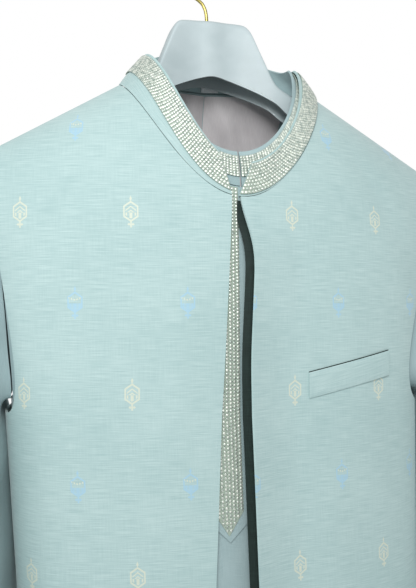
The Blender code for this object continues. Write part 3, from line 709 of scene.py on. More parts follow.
def jacket_front_grid(hand, inset=0.0, steps=(30, 40, 90, 100)):
    """A jacket front; the left one stands off the kurta near its free edge."""
    edge = jacket_edge(hand)
    grid = panel(JACKET_NECK, inset, "front", hand, JACKET_HEM_Z, edge, steps)
    fade = edge_fade(grid)
    grid = push_out(grid, creases(grid[..., 0], grid[..., 2], JACKET_CREASES[hand]) * fade, "front")
    if hand == 1:
        z = grid[..., 2]
        away = np.abs(grid[..., 0] - sway(z) - edge(z))
        share = np.clip(1 - away / LIFT_REACH, 0, 1)
        grid[..., 1] -= table_curve(LEFT_EDGE_LIFT, "out")(z) * share ** 1.6
    return grid


MOTIF_START = {-1: 0.053, 1: 0.001}
MOTIF_STRETCH = {-1: 0.98, 1: 1.037}


def jacket_fronts(motif_cloth):
    """Two fronts whose motifs stand where the photograph shows them."""
    for hand, side_name in ((-1, "right"), (1, "left")):
        grid = jacket_front_grid(hand)
        uv = fabric_map(grid, "front")
        uv[..., 0] = (uv[..., 0] * hand - MOTIF_START[hand]) * MOTIF_STRETCH[hand]
        cloth("jacket_front_%s_cloth" % side_name, grid, motif_cloth, "jacket_cloth", JACKET_WALL,
              (0.0, 0.0, -0.5), ("jacket_front_" + side_name,), uv)


def jacket_back(motif_cloth):
    halves = [panel(JACKET_NECK, 0.0, "back", hand, JACKET_HEM_Z) for hand in (-1, 1)]
    grid = np.concatenate([halves[0][:, :0:-1], halves[1]], axis=1)
    lift = creases(grid[..., 0], grid[..., 2], BACK_CREASES) * edge_fade(grid)
    grid = push_out(grid, lift, "back")
    uv = fabric_map(grid, "back")
    cloth("jacket_back_cloth", grid, motif_cloth, "jacket_cloth", JACKET_WALL, (0.0, 0.0, -0.5),
          ("jacket_back",), uv)


# Width of the painted shade strip that shows past the left front edge.
PAINTED_SHADE_PEEK = 0.008


def jacket_edge_painted_shade(dark):
    """A dark strip just beyond the jacket's left front edge: painted shade for the shadow that the lifted
    front casts on the kurta.
    """
    edge = jacket_edge(1)
    lift = table_curve(LEFT_EDGE_LIFT, "out")
    z = np.linspace(-0.2565, JACKET_HEM_Z + 0.004, 150)
    peek = PAINTED_SHADE_PEEK * np.clip((-0.246 - z) / 0.03, 0.35, 1)
    across = np.linspace(0, 1, 9)
    x = (edge(z) - peek)[:, None] + (peek + 0.03)[:, None] * across[None]
    zz = z[:, None] + 0 * x
    grid = body_point(x, zz, 0.0, "front")
    share = np.clip(1 - np.abs(x - edge(zz)) / LIFT_REACH, 0, 1)
    grid[..., 1] -= lift(zz) * share ** 1.6 - JACKET_WALL - 0.0012
    cloth("jacket_edge_painted_shade", grid, dark, None, 0.0006, (0.0, 0.0, -0.5))


def jacket_welt(plain, dark):
    """The slanted chest welt with its turned edges."""
    along = np.linspace(0, 1, 60)
    x_line = WELT["inner_x"] + (WELT["outer_x"] - WELT["inner_x"]) * along
    z_line = WELT["inner_z"] + (WELT["outer_z"] - WELT["inner_z"]) * along
    down = np.linspace(0, WELT["height"], 18)
    x = x_line[None] + 0 * down[:, None]
    z = z_line[None] - down[:, None]
    grid = body_point(x, z, 0.0, "front", HALF_GAP + SEAT + WELT["wall"])
    share = np.abs(np.linspace(-1, 1, 18))[:, None]
    grid[..., 1] += 0.0006 * share ** 6
    cloth("jacket_welt_cloth", grid, plain, "jacket_cloth", WELT["wall"], (0.0, 0.0, -0.5),
          ("jacket_pocket_welt",))
    # A dark strip under the welt that shows just above its top edge: painted shade for the shadow line along
    # the welt.
    slit = np.linspace(-0.0008, 0.0105, 6)
    z = z_line[None] - slit[:, None]
    grid = body_point(x_line[None] + 0 * z, z, 0.0, "front", HALF_GAP + SEAT)
    cloth("jacket_welt_painted_shade", grid, dark, None, 0.0003, (0.0, 0.0, -0.5))


# Collars

def collar_base(angle, neck, inset, deep):
    share = np.sin(angle)
    front = np.cos(angle) > 0
    points = np.zeros(angle.shape + (3,))
    for side, chosen in (("front", front), ("back", ~front)):
        z = neck_line(neck["half"] * share[chosen], neck, side)
        points[chosen] = body_point((neck["half"] - deep) * share[chosen], z, inset + deep, side)
    return points


def collar_top(angle, collar, deep):
    sine, cosine = np.sin(angle), np.cos(angle)
    reach = np.where(cosine > 0, collar["front"], collar["back"]) - deep
    power = np.where(sine > 0, collar["power_left"], collar["power_right"])
    front_z = collar["side_z"] - collar["drop"] * np.abs(cosine) ** power
    rise = collar["back_z"] - collar["side_z"]
    z = np.where(cosine > 0, front_z, collar["side_z"] + rise * np.abs(cosine) ** 1.5)
    y = -np.sign(cosine) * reach * np.abs(cosine) ** 0.75
    return np.stack([(collar["half"] - deep) * sine, y, z], axis=-1)


def collar_grid(neck, collar, inset, ends, shares, out, columns=260, reach=None):
    """A standing collar from its top edge to the neckline; out moves it off the collar's face.

    reach gives, against the angle from the front, how far down the shares of a trim stretch.
    """
    steps = np.linspace(0, 1, columns)
    angles = {key: np.radians(ends[key][0] + (ends[key][1] - ends[key][0]) * steps) for key in ends}
    base = collar_base(angles["base"], neck, inset, -out)
    base[..., 2] += COLLAR_SEAM
    top = collar_top(angles["top"], collar, -out)
    share = np.asarray(shares)[:, None] + 0 * steps[None]
    if reach is not None:
        share = reach[0] + share * (np.interp(np.degrees(angles["top"]), *reach[1]) - reach[0])[None]
    share = share[..., None]
    grid = top[None] + (base - top)[None] * share
    bulge = 0.0012 * np.sin(math.pi * share)
    outward = np.stack([np.sin(angles["top"]), -np.cos(angles["top"]), 0 * angles["top"]], axis=-1)
    return grid + outward[None] * bulge


def even_columns(grid, pitch):
    """Resample a grid's columns to an even length along its middle row."""
    middle = grid[grid.shape[0] // 2]
    length = np.concatenate([[0], np.cumsum(np.linalg.norm(np.diff(middle, axis=0), axis=1))])
    count = max(int(length[-1] / pitch), 2)
    wanted = (np.arange(count) + 0.5) * length[-1] / count
    place_in = np.interp(wanted, length, np.arange(len(length)))
    low = np.floor(place_in).astype(int)
    part = (place_in - low)[None, :, None]
    high = np.minimum(low + 1, len(length) - 1)
    return grid[:, low] * (1 - part) + grid[:, high] * part


def sequins(name, grid, size, material, replaces, seed):
    """Small square sequins, one at each point of the grid, lying on its surface and a little tilted.

    Each is a low pyramid frustum: a square foot and a smaller raised square face.
    """
    rng = np.random.default_rng(seed)
    along = np.gradient(grid, axis=1)
    down = np.gradient(grid, axis=0)
    along /= np.linalg.norm(along, axis=-1, keepdims=True)
    normal = np.cross(along, down)
    normal /= np.linalg.norm(normal, axis=-1, keepdims=True)
    outward = grid * (1.0, 1.0, 0.0)
    flip = np.sign(np.sum(normal * outward, axis=-1, keepdims=True))
    normal = normal * np.where(flip == 0, 1, flip)
    count = grid.shape[0] * grid.shape[1]
    centre, along, normal = (a.reshape(-1, 3) for a in (grid, along, normal))
    tilt = rng.normal(0, 0.05, (count, 2))
    across = np.cross(normal, along)
    normal = normal + along * tilt[:, :1] + across * tilt[:, 1:]
    normal /= np.linalg.norm(normal, axis=1, keepdims=True)
    along = along - normal * np.sum(along * normal, axis=1, keepdims=True)
    along /= np.linalg.norm(along, axis=1, keepdims=True)
    across = np.cross(normal, along)
    corners = np.array([(-1, -1), (1, -1), (1, 1), (-1, 1)])
    centre = centre + GARMENT_SHIFT
    rings = []
    for half, rise in ((size / 2, 0.0), (size / 2 * 0.78, size * 0.13)):
        ring = (centre[:, None] + along[:, None] * corners[None, :, :1] * half
                + across[:, None] * corners[None, :, 1:] * half + normal[:, None] * rise)
        rings.append(ring)
    points = np.concatenate(rings, axis=1).reshape(-1, 3)
    pattern = np.array([(4, 5, 6, 7), (3, 2, 1, 0), (0, 1, 5, 4), (1, 2, 6, 5), (2, 3, 7, 6), (3, 0, 4, 7)])
    faces = (np.arange(count)[:, None, None] * 8 + pattern[None]).reshape(-1, 4)
    mesh = make_mesh(name, points, faces)
    return place(name, mesh, material, "sequin_trim", replaces)


SEQUIN_PITCH = 0.0031
SEQUIN_SIZE = 0.0026
TRIM_ANGLES = (0, 60, 90, 135, 225, 270, 300, 330, 360)
JACKET_TRIM = (0.05, (TRIM_ANGLES, (0.96, 0.90, 0.80, 0.62, 0.55, 0.53, 0.62, 0.84, 0.98)))
KURTA_TRIM = (0.13, (TRIM_ANGLES, (0.74, 0.74, 0.74, 0.74, 0.74, 0.74, 0.74, 0.74, 0.74)))


def collars(finishes):
    """Both standing collars, each with its net trim and the rows of sequins."""
    for name, neck, collar, inset, ends, trim, rows, slot, seed in (
            ("jacket", JACKET_NECK, JACKET_COLLAR, 0.0, JACKET_COLLAR_ENDS, JACKET_TRIM, 9,
             "jacket_cloth", 3),
            ("kurta", KURTA_NECK, KURTA_COLLAR, KURTA_INSET, KURTA_COLLAR_ENDS, KURTA_TRIM, 8,
             "kurta_cloth", 4)):
        whole = collar_grid(neck, collar, inset, ends, np.linspace(0, 1, 22), 0.0)
        cloth(name + "_collar_cloth", whole, finishes[name], slot, COLLAR_WALL, (0.0, 0.0, -0.11),
              (name + "_collar",))
        net = collar_grid(neck, collar, inset, ends, np.linspace(0, 1, 12), SEAT + TRIM_WALL * 0.4, 260,
                          trim)
        cloth(name + "_trim_net", net, finishes["net"], "sequin_trim", TRIM_WALL * 0.4, (0.0, 0.0, -0.11),
              (name + "_collar_trim",))
        levels = (np.arange(rows) + 0.5) / rows
        points = collar_grid(neck, collar, inset, ends, levels, SEAT + TRIM_WALL * 0.5, 900, trim)
        points = even_columns(points, SEQUIN_PITCH)
        sequins(name + "_collar_sequins", points, SEQUIN_SIZE, finishes["sequin"], (), seed)


# Pieces of the kurta

KURTA_CREASES = {
    "front": ((-0.02, -0.70, 2, 0.16, 0.015, 0.0010), (0.08, -0.95, -3, 0.20, 0.018, 0.0030),
              (-0.09, -1.00, 4, 0.20, 0.020, -0.0030), (0.0, -1.05, 0, 0.18, 0.016, 0.0025),
              (0.15, -1.02, -6, 0.18, 0.020, -0.0028), (-0.16, -1.00, 6, 0.18, 0.018, 0.0028)),
    "back": ((0.03, -0.95, 3, 0.20, 0.020, 0.0030), (-0.10, -1.02, -4, 0.20, 0.018, 0.0028),
             (0.13, -1.00, -5, 0.18, 0.022, -0.0030), (-0.02, -1.06, 0, 0.16, 0.016, -0.0025)),
}


def kurta_panel_grid(side, steps=(24, 40, 70, 110)):
    halves = [panel(KURTA_NECK, KURTA_INSET, side, hand, KURTA_HEM_Z, None, steps) for hand in (-1, 1)]
    grid = np.concatenate([halves[0][:, :0:-1], halves[1]], axis=1)
    share = np.clip((SLIT_TOP_Z - grid[..., 2]) / (SLIT_TOP_Z - KURTA_HEM_Z), 0, 1)
    below = np.clip((JACKET_HEM_Z - grid[..., 2]) / 0.05, 0, 1)
    lift = creases(grid[..., 0], grid[..., 2], KURTA_CREASES[side]) * edge_fade(grid) * below
    return push_out(grid, lift + SLIT_OPEN * share, side)


def kurta_panels(material):
    for side in ("front", "back"):
        cloth("kurta_%s_cloth" % side, kurta_panel_grid(side), material, "kurta_cloth", KURTA_WALL,
              (0.0, 0.0, -0.6), ("kurta_" + side,))


def front_strip(size, out, columns, rows, top_drop=0.0015):
    """Points of a strip on the kurta's front, from the neckline down to its pointed end."""
    across = np.linspace(size["left_x"], size["right_x"], columns)
    middle = (size["left_x"] + size["right_x"]) / 2
    half = (size["right_x"] - size["left_x"]) / 2
    point = 1 - np.abs(across - middle) / half
    top = neck_line(across, KURTA_NECK, "front") - top_drop
    bottom = size["end_z"] + (size["tip_z"] - size["end_z"]) * point
    z = top[None] + (bottom - top)[None] * np.linspace(0, 1, rows)[:, None]
    return body_point(across[None] + 0 * z, z, KURTA_INSET, "front", HALF_GAP + out)


def kurta_placket(finishes):
    """Placket with its pointed end, the net trim on it and eight columns of sequins."""
    cloth("kurta_placket_cloth", front_strip(PLACKET, SEAT + TRIM_WALL, 25, 160), finishes["kurta"],
          "kurta_cloth", TRIM_WALL, (0.0, 0.0, -0.5), ("kurta_placket",))
    lie = SEAT + TRIM_WALL + SEAM_GAP + TRIM_WALL * 0.4
    cloth("kurta_placket_net", front_strip(PLACKET_TRIM, lie, 15, 160), finishes["net"], "sequin_trim",
          TRIM_WALL * 0.4, (0.0, 0.0, -0.5), ("kurta_placket_trim",))
    rows = int((PLACKET_TRIM["end_z"] + 0.245) / -SEQUIN_PITCH)
    inner = {"left_x": PLACKET_TRIM["left_x"] + 0.0016, "right_x": PLACKET_TRIM["right_x"] - 0.0016,
             "end_z": PLACKET_TRIM["end_z"] + 0.002, "tip_z": PLACKET_TRIM["tip_z"] + 0.002}
    points = front_strip(inner, lie + 0.0001, 8, rows, 0.0035)
    sequins("kurta_placket_sequins", points, SEQUIN_SIZE, finishes["sequin"], (), 5)


LINING_BOTTOM_Z = -0.40
LINING_REACH_X = 0.080


def kurta_lining(material):
    """Two halves of the pale back lining that meet in a pressed seam down the middle."""
    lie = KURTA_INSET + KURTA_WALL + SEAM_GAP + 0.0004
    for hand, name in ((-1, "right"), (1, "left")):
        across = np.linspace(0.0003, LINING_REACH_X, 60) * hand
        top = np.minimum(neck_line(across, KURTA_NECK, "back"), ridge_height(across, lie)) - 0.0025
        z = top[None] + (LINING_BOTTOM_Z - top[None]) * (np.linspace(0, 1, 110) ** 1.3)[:, None]
        x = across[None] + 0 * z
        grid = body_point(x, z, lie, "back", 0.0)
        seam = np.exp(-(np.abs(x) / 0.0022) ** 2) * 0.0008
        soft_fold = 0.0016 * (1 + np.sin(x * 190 + z * 60)) * np.clip(np.abs(x) / 0.012, 0, 1)
        grid[..., 1] -= soft_fold * np.clip((top[None] - z) / 0.03, 0, 1) - seam
        replaced = ("kurta_back_lining",) if hand == -1 else ()
        cloth("kurta_lining_" + name, grid, material, "lining_cloth", 0.0005, (0.0, 0.2, -0.3), replaced)


def kurta_label(material):
    """A small blank label sewn below the top of the kurta's back neck, on the inner side."""
    ends = {"top": (170.9, 183.3), "base": (170.9, 183.3)}
    grid = collar_grid(KURTA_NECK, KURTA_COLLAR, KURTA_INSET, ends, np.linspace(0.725, 1.0, 10),
                       -COLLAR_WALL - 0.0012, 14)
    cloth("kurta_label_cloth", grid, material, "label_cloth", 0.0005, (0.0, 0.2, -0.14), ("kurta_label",))


def armhole_ring(hand, inset, count):
    """The kurta's armhole edge as a ring: shoulder tip, front edge, underarm, back edge."""
    quarter = count // 4
    tip_z = float(ridge_height(SHOULDER_HALF - inset, inset))
    low_z = UNDERARM_Z + UNDERARM_RAISE * inset
    share = np.sin(np.linspace(0, math.pi / 2, 2 * quarter + 1)) ** 1.25
    z = tip_z + (low_z - tip_z) * share
    lines = {}
    for side in ("front", "back"):
        lines[side] = body_point(outer_half(z, inset, side, hand) * hand, z, inset, side)
    ring = np.concatenate([lines["front"], lines["back"][-2:0:-1]])
    ring[:, 0] += hand * ARMHOLE_SEAM
    return ring


def cuff_ring(hand, z, share, count):
    """A flattened ring of the hanging sleeve."""
    theta = np.linspace(0, 2 * math.pi, count, endpoint=False)
    long_half = SLEEVE_HALF["long"] + (SLEEVE_HALF["cuff_long"] - SLEEVE_HALF["long"]) * share
    thick_half = SLEEVE_HALF["thick"] + (SLEEVE_HALF["cuff_thick"] - SLEEVE_HALF["thick"]) * share
    across = np.sign(np.sin(theta)) * np.abs(np.sin(theta)) ** 0.8
    outward = np.sign(np.cos(theta)) * np.abs(np.cos(theta)) ** 0.8
    sine, cosine = math.sin(SLEEVE_TURN), math.cos(SLEEVE_TURN)
    x = SLEEVE_CENTRE["x"] + long_half * across * sine + thick_half * outward * cosine
    y = SLEEVE_CENTRE["y"] - long_half * across * cosine + thick_half * outward * sine
    return np.stack([x * hand + sway(z), y, z + 0 * x], axis=-1)


SLEEVE_COUNT = 128


def sleeve_grid(hand):
    """Rings from the armhole out and down to the level ring, then to the cuff, with soft folds."""
    start = armhole_ring(hand, KURTA_INSET, SLEEVE_COUNT)
    level = cuff_ring(hand, SLEEVE_LEVEL_Z, 0.0, SLEEVE_COUNT)
    theta = np.linspace(0, 2 * math.pi, SLEEVE_COUNT, endpoint=False)
    top_share = ((1 + np.cos(theta)) / 2)[:, None]
    span = np.linalg.norm(level - start, axis=1)[:, None]
    leave = np.concatenate([hand * (0.82 + 0.18 * (1 - top_share)), 0 * top_share,
                            -0.55 * top_share + 0.12 * (1 - top_share)], axis=1)
    arrive = np.array([0.0, 0.0, -1.0])
    rings = []
    for t in np.linspace(0, 1, 70):
        h00, h10 = 2 * t**3 - 3 * t**2 + 1, t**3 - 2 * t**2 + t
        h01, h11 = -2 * t**3 + 3 * t**2, t**3 - t**2
        rings.append(h00 * start + h10 * span * leave * 1.05 + h01 * level + h11 * span * arrive * 0.9)
    for share in np.linspace(0, 1, 91)[1:]:
        z = SLEEVE_LEVEL_Z + (CUFF_Z - SLEEVE_LEVEL_Z) * share
        rings.append(cuff_ring(hand, z, share, SLEEVE_COUNT))
    grid = np.array(rings)
    centre = grid.mean(axis=1, keepdims=True)
    outward = grid - centre
    outward[..., 2] = 0
    outward /= np.maximum(np.linalg.norm(outward, axis=-1, keepdims=True), 1e-6)
    z = grid[..., 2]
    spin = theta[None] + 0 * z
    fade = np.clip((-0.30 - z) / 0.08, 0, 1) * np.clip((z - CUFF_Z) / 0.02, 0.3, 1)
    fold = (0.0016 * np.sin(3 * spin + z * 22 + hand) + 0.0012 * np.sin(z * 75 + 2 * np.cos(spin))
            + 0.0022 * np.exp(-((z + 0.52) / 0.02) ** 2) * np.cos(2 * spin))
    return grid - outward * (0.0022 + fold)[..., None] * fade[..., None]


def kurta_sleeves(material):
    for name, hand in (("right", -1), ("left", 1)):
        grid = sleeve_grid(hand)
        middle = grid.mean(axis=1, keepdims=True)
        faces = grid_faces(grid.shape[0], grid.shape[1], True)
        inward = (middle - grid).reshape(-1, 3)[faces].mean(axis=1)
        uv = cloth_map(grid)
        cloth("kurta_sleeve_%s_cloth" % name, grid, material, "kurta_cloth", KURTA_WALL * 0.9, inward,
              ("kurta_sleeve_" + name,), uv, closed=True)


# Pajama over the bar

BAR = {"z": -0.285, "radius": 0.005}
PAJAMA = {"half": 0.110, "thick": 0.006, "fall": 0.47, "band": 0.035}


def pajama_leg(name, gap, material, node, wave):
    """A folded leg over the bar: a soft sheet with a rounded turn and slightly uneven falls."""
    thick = PAJAMA["thick"]
    radius = BAR["radius"] + gap + thick
    across = np.linspace(-PAJAMA["half"], PAJAMA["half"], 70)
    turn = np.linspace(0, math.pi, 25)
    down = np.linspace(1, 0.01, 80)
    low = BAR["z"] - PAJAMA["fall"] * down
    y = np.concatenate([np.full(80, -radius), -radius * np.cos(turn), np.full(80, radius)])
    z = np.concatenate([low, BAR["z"] + radius * np.sin(turn), low[::-1]])
    x = across[None] + 0 * y[:, None]
    yy = y[:, None] + 0 * x
    zz = z[:, None] + 0 * x
    edge = np.clip(1 - (PAJAMA["half"] - np.abs(x)) / 0.004, 0, 1)
    side = np.sign(yy)
    fold = 0.0008 * np.sin(x * 60 + zz * wave) * np.clip((BAR["z"] - zz) / 0.1, 0, 1)
    yy = yy - side * (edge ** 2 * thick * 0.35 + np.abs(fold))
    grid = np.stack([x, yy, zz], axis=-1)
    grid[..., 0] -= GARMENT_SHIFT[0]
    faces = grid_faces(*grid.shape[:2])
    inward = np.zeros((len(faces), 3))
    flat = grid.reshape(-1, 3)
    inward[:, 1] = -flat[faces][..., 1].mean(axis=1)
    inward[:, 2] = BAR["z"] - np.maximum(flat[faces][..., 2].mean(axis=1), BAR["z"])
    return cloth(name, grid, material, "kurta_cloth", thick * 0.62, inward, (node,), held="folded")


def pajama_band(material):
    """The waistband: a gathered tube of cloth folded flat, with channels for its elastic."""
    half, band = PAJAMA["half"], PAJAMA["band"]
    thick = 2 * PAJAMA["thick"] + SEAM_GAP
    count_x, count_t = 260, 40
    theta = np.linspace(0, 2 * math.pi, count_t, endpoint=False)
    across = np.linspace(-half + 0.0008, half - 0.0008, count_x)
    gathers = 0.0009 * np.sin(across * 900) + 0.0005 * np.sin(across * 410 + 1)
    high = np.sign(np.sin(theta)) * np.abs(np.sin(theta)) ** 0.35
    wide = np.sign(np.cos(theta)) * np.abs(np.cos(theta)) ** 0.35
    channel = 0.0007 * (1 + np.cos(high * math.pi * 3))
    middle_y = BAR["radius"] + SEAM_GAP + thick / 2
    middle_z = BAR["z"] - PAJAMA["fall"] - SEAM_GAP - band / 2
    squash = np.clip((half - np.abs(across)) / 0.004, 0.45, 1)
    y = middle_y + (thick / 2 - 0.0011 - channel)[:, None] * wide[:, None] * squash + gathers * wide[:, None]
    z = middle_z + (band / 2 - 0.0006) * high[:, None] + 0 * y
    x = across[None] + 0 * y
    grid = np.stack([x, y, z], axis=-1).transpose(1, 0, 2)
    points = grid.reshape(-1, 3)
    rows, cols = grid.shape[:2]
    faces = grid_faces(rows, cols, True)
    ends = np.array([grid[0].mean(axis=0), grid[-1].mean(axis=0)])
    points = np.concatenate([points, ends]) + np.array([0.0, GARMENT_SHIFT[1], 0.0])
    first = np.arange(cols)
    after = (first + 1) % cols
    caps = np.concatenate([np.stack([first * 0 + rows * cols, after, first, first], axis=1),
                           np.stack([first * 0 + rows * cols + 1, (rows - 1) * cols + first,
                                     (rows - 1) * cols + after, (rows - 1) * cols + after], axis=1)])
    mesh = bpy.data.meshes.new("pajama_waistband_cloth")
    triangles = [tuple(face[:3]) for face in caps.tolist()]
    mesh.from_pydata([tuple(p) for p in points.tolist()], [], [tuple(f) for f in faces.tolist()] + triangles)
    layer = mesh.uv_layers.new(name="cloth")
    index = np.empty(len(mesh.loops), dtype=np.int32)
    mesh.loops.foreach_get("vertex_index", index)
    flat = np.stack([points[index, 0], points[index, 2]], axis=1)
    layer.data.foreach_set("uv", flat.astype(np.float32).ravel())
    mesh.shade_smooth()
    work = bmesh.new()
    work.from_mesh(mesh)
    bmesh.ops.recalc_face_normals(work, faces=work.faces)
    work.to_mesh(mesh)
    work.free()
    piece = place("pajama_waistband_cloth", mesh, material, "kurta_cloth", ("pajama_waistband",))


# Hanger

HANGER_THICK = {"middle": 0.047, "neck": 0.027, "tip": 0.018}
HANGER_NECK_X = 0.070
HANGER_WALL = 0.003
HANGER_TIP_X = 0.206
ARM_HEIGHT = 0.036
HANGER_EDGE_ROUND = 0.010
HANGER_FLANK = {"across": (0.0, 0.012, 0.024, 0.034, 0.0395, 0.0455, 0.053, 0.062),
                "height": (-0.0640, -0.0642, -0.0648, -0.0665, -0.0725, -0.0875, -0.105, -0.126)}
ARCH = {"apex_z": -0.122, "fall": 0.016, "half": 0.045}
ARM_CLEARANCE = 0.0075
WIRE_RADIUS = 0.0017
HOOK_RADIUS = 0.025
HANGER_TOP_Z = -0.064


def hanger_top(x):
    reach = np.abs(x)
    under_shoulder = ridge_height(x - GARMENT_SHIFT[0], KURTA_INSET + KURTA_WALL) - ARM_CLEARANCE
    flank = np.interp(reach, HANGER_FLANK["across"], HANGER_FLANK["height"])
    line = np.where(reach < HANGER_FLANK["across"][-1], flank, under_shoulder)
    gap = (reach > HANGER_FLANK["across"][-1]) & (reach < HANGER_NECK_X)
    ends = hanger_line_ends(np.sign(x))
    share = (reach - HANGER_FLANK["across"][-1]) / (HANGER_NECK_X - HANGER_FLANK["across"][-1])
    return np.where(gap, HANGER_FLANK["height"][-1] + (ends - HANGER_FLANK["height"][-1]) * share, line)


def hanger_line_ends(sign):
    """Height of the arm where it leaves the flank."""
    x = sign * HANGER_NECK_X
    return ridge_height(x - GARMENT_SHIFT[0], KURTA_INSET + KURTA_WALL) - ARM_CLEARANCE


def smooth_line(values, width):
    window = np.hanning(width) / np.hanning(width).sum()
    padded = np.concatenate([np.full(width // 2, values[0]), values, np.full(width // 2, values[-1])])
    return np.convolve(padded, window, mode="valid")


def hanger_body(material):
    """The moulded channel with rounded edges, open underneath, as one smooth loft along X."""
    x = np.linspace(-HANGER_TIP_X, HANGER_TIP_X, 401)
    top = smooth_line(hanger_top(x), 13)
    arch = ARCH["apex_z"] - ARCH["fall"] * (np.abs(x) / ARCH["half"]) ** 1.5
    low = np.maximum(np.minimum(arch, top - 0.024), top - ARM_HEIGHT)
    low = np.where(np.abs(x) < HANGER_NECK_X, np.minimum(arch, top - 0.020), low)
    low = smooth_line(low, 21)
    thick = np.interp(np.abs(x), (0, HANGER_NECK_X, HANGER_TIP_X), tuple(HANGER_THICK.values()))
    forward = np.clip((np.abs(x) - 0.010) / HANGER_NECK_X, 0, 1)
    centre_y = GARMENT_SHIFT[1] * forward ** 2 * (3 - 2 * forward)
    turn = np.radians(np.linspace(-90, 90, 33))
    half = (smooth_line(thick, 21) / 2)[:, None]
    y = half * (np.sign(np.sin(turn)) * np.abs(np.sin(turn)) ** 0.6)[None]
    z = top[:, None] - HANGER_EDGE_ROUND * (1 - np.abs(np.cos(turn)) ** 0.6)[None]
    shoulder = (top - HANGER_EDGE_ROUND)[:, None]
    wall_z = low[:, None] + (shoulder - low[:, None]) * np.linspace(0, 0.97, 14)[None]
    y = np.concatenate([-half + 0 * wall_z, y, half + 0 * wall_z], axis=1) + centre_y[:, None]
    z = np.concatenate([wall_z, z, wall_z[:, ::-1]], axis=1)
    grid = np.stack([x[:, None] + 0 * z, y, z], axis=-1) - GARMENT_SHIFT
    faces = grid_faces(*grid.shape[:2])
    flat = (grid + GARMENT_SHIFT).reshape(-1, 3)
    heart = np.stack([x, centre_y, top - 0.028], axis=-1)
    inward = (heart[:, None] - flat.reshape(grid.shape)).reshape(-1, 3)[faces].mean(axis=1)
    cloth("hanger_shell", grid, material, "hanger_plastic", HANGER_WALL, inward, ("hanger_body",), sharp=38,
          held=None)


def tube(name, route, radius, material, slot, replaces, sides=20):
    """A round wire along a route, with rounded ends; its frame turns with the route in the XZ plane."""
    route = np.asarray(route)
    step = np.gradient(route, axis=0)
    step /= np.linalg.norm(step, axis=1, keepdims=True)
    side = np.tile([0.0, 1.0, 0.0], (len(route), 1))
    up = np.cross(step, side)
    theta = np.linspace(0, 2 * math.pi, sides, endpoint=False)
    swell = np.full(len(route), radius)
    dome = np.array([0.35, 0.72, 0.92])
    swell[:3] *= dome
    swell[-3:] *= dome[::-1]
    ring = (side[:, None] * np.cos(theta)[None, :, None] + up[:, None] * np.sin(theta)[None, :, None])
    points = (route[:, None] + ring * swell[:, None, None]).reshape(-1, 3)
    count = len(route)
    faces = [tuple(f) for f in grid_faces(count, sides, True).tolist()]
    faces.append(tuple(range(sides - 1, -1, -1)))
    faces.append(tuple(range((count - 1) * sides, count * sides)))
    mesh = bpy.data.meshes.new(name)
    mesh.from_pydata([tuple(p) for p in points.tolist()], [], faces)
    work = bmesh.new()
    work.from_mesh(mesh)
    bmesh.ops.recalc_face_normals(work, faces=work.faces)
    work.to_mesh(mesh)
    work.free()
    mesh.shade_smooth()
    return place(name, mesh, material, slot, replaces)


def hook_route():
    """From the hanger's top a left-hand sweep, then a round over the rail to an open end."""
    centre_z = -HOOK_RADIUS + WIRE_RADIUS
    start = [(0.0, HANGER_TOP_Z + SEAM_GAP), (-0.0008, -0.0535), (-0.0020, -0.0480), (-0.0048, -0.0425),
             (-0.0102, -0.0382), (-0.0172, -0.0352)]
    turn = np.radians(np.linspace(200, -20, 60))
    ring = np.stack([HOOK_RADIUS * np.cos(turn), centre_z + HOOK_RADIUS * np.sin(turn)], axis=1)
    flat = np.concatenate([np.array(start), ring])
    length = np.concatenate([[0], np.cumsum(np.linalg.norm(np.diff(flat, axis=0), axis=1))])
    even = np.linspace(0, length[-1], 160)
    x = smooth_line(np.interp(even, length, flat[:, 0]), 9)
    z = smooth_line(np.interp(even, length, flat[:, 1]), 9)
    return np.stack([x, 0 * x, z], axis=1)


def bar_route():
    """The trouser bar: down from the channel on one side, along, and up on the other."""
    end_x, depth = 0.170, GARMENT_SHIFT[1]
    seat_z = float(hanger_top(np.array([end_x]))[0]) - HANGER_WALL - SEAT - BAR["radius"] * SHOULDER_SLOPE
    side = np.array([(end_x, seat_z), (end_x, BAR["z"] + 0.020), (end_x - 0.006, BAR["z"] + 0.006),
                     (end_x - 0.020, BAR["z"])])
    flat = np.concatenate([side * (-1, 1), side[::-1]])
    length = np.concatenate([[0], np.cumsum(np.linalg.norm(np.diff(flat, axis=0), axis=1))])
    even = np.linspace(0, length[-1], 180)
    x = smooth_line(np.interp(even, length, flat[:, 0]), 7)
    z = smooth_line(np.interp(even, length, flat[:, 1]), 7)
    return np.stack([x, 0 * x + depth, z], axis=1)


# Scene

def flat_white(world):
    """The camera sees pure white, while the surround lights the cloth less strongly."""
    tree = world.node_tree
    background = tree.nodes["Background"]
    seen = tree.nodes.new("ShaderNodeBackground")
    seen.inputs["Color"].default_value = (1.0, 1.0, 1.0, 1.0)
    background.inputs["Strength"].default_value = 0.62
    path = tree.nodes.new("ShaderNodeLightPath")
    mix = tree.nodes.new("ShaderNodeMixShader")
    tree.links.new(path.outputs["Is Camera Ray"], mix.inputs[0])
    tree.links.new(background.outputs[0], mix.inputs[1])
    tree.links.new(seen.outputs[0], mix.inputs[2])
    tree.links.new(mix.outputs[0], tree.nodes["World Output"].inputs["Surface"])


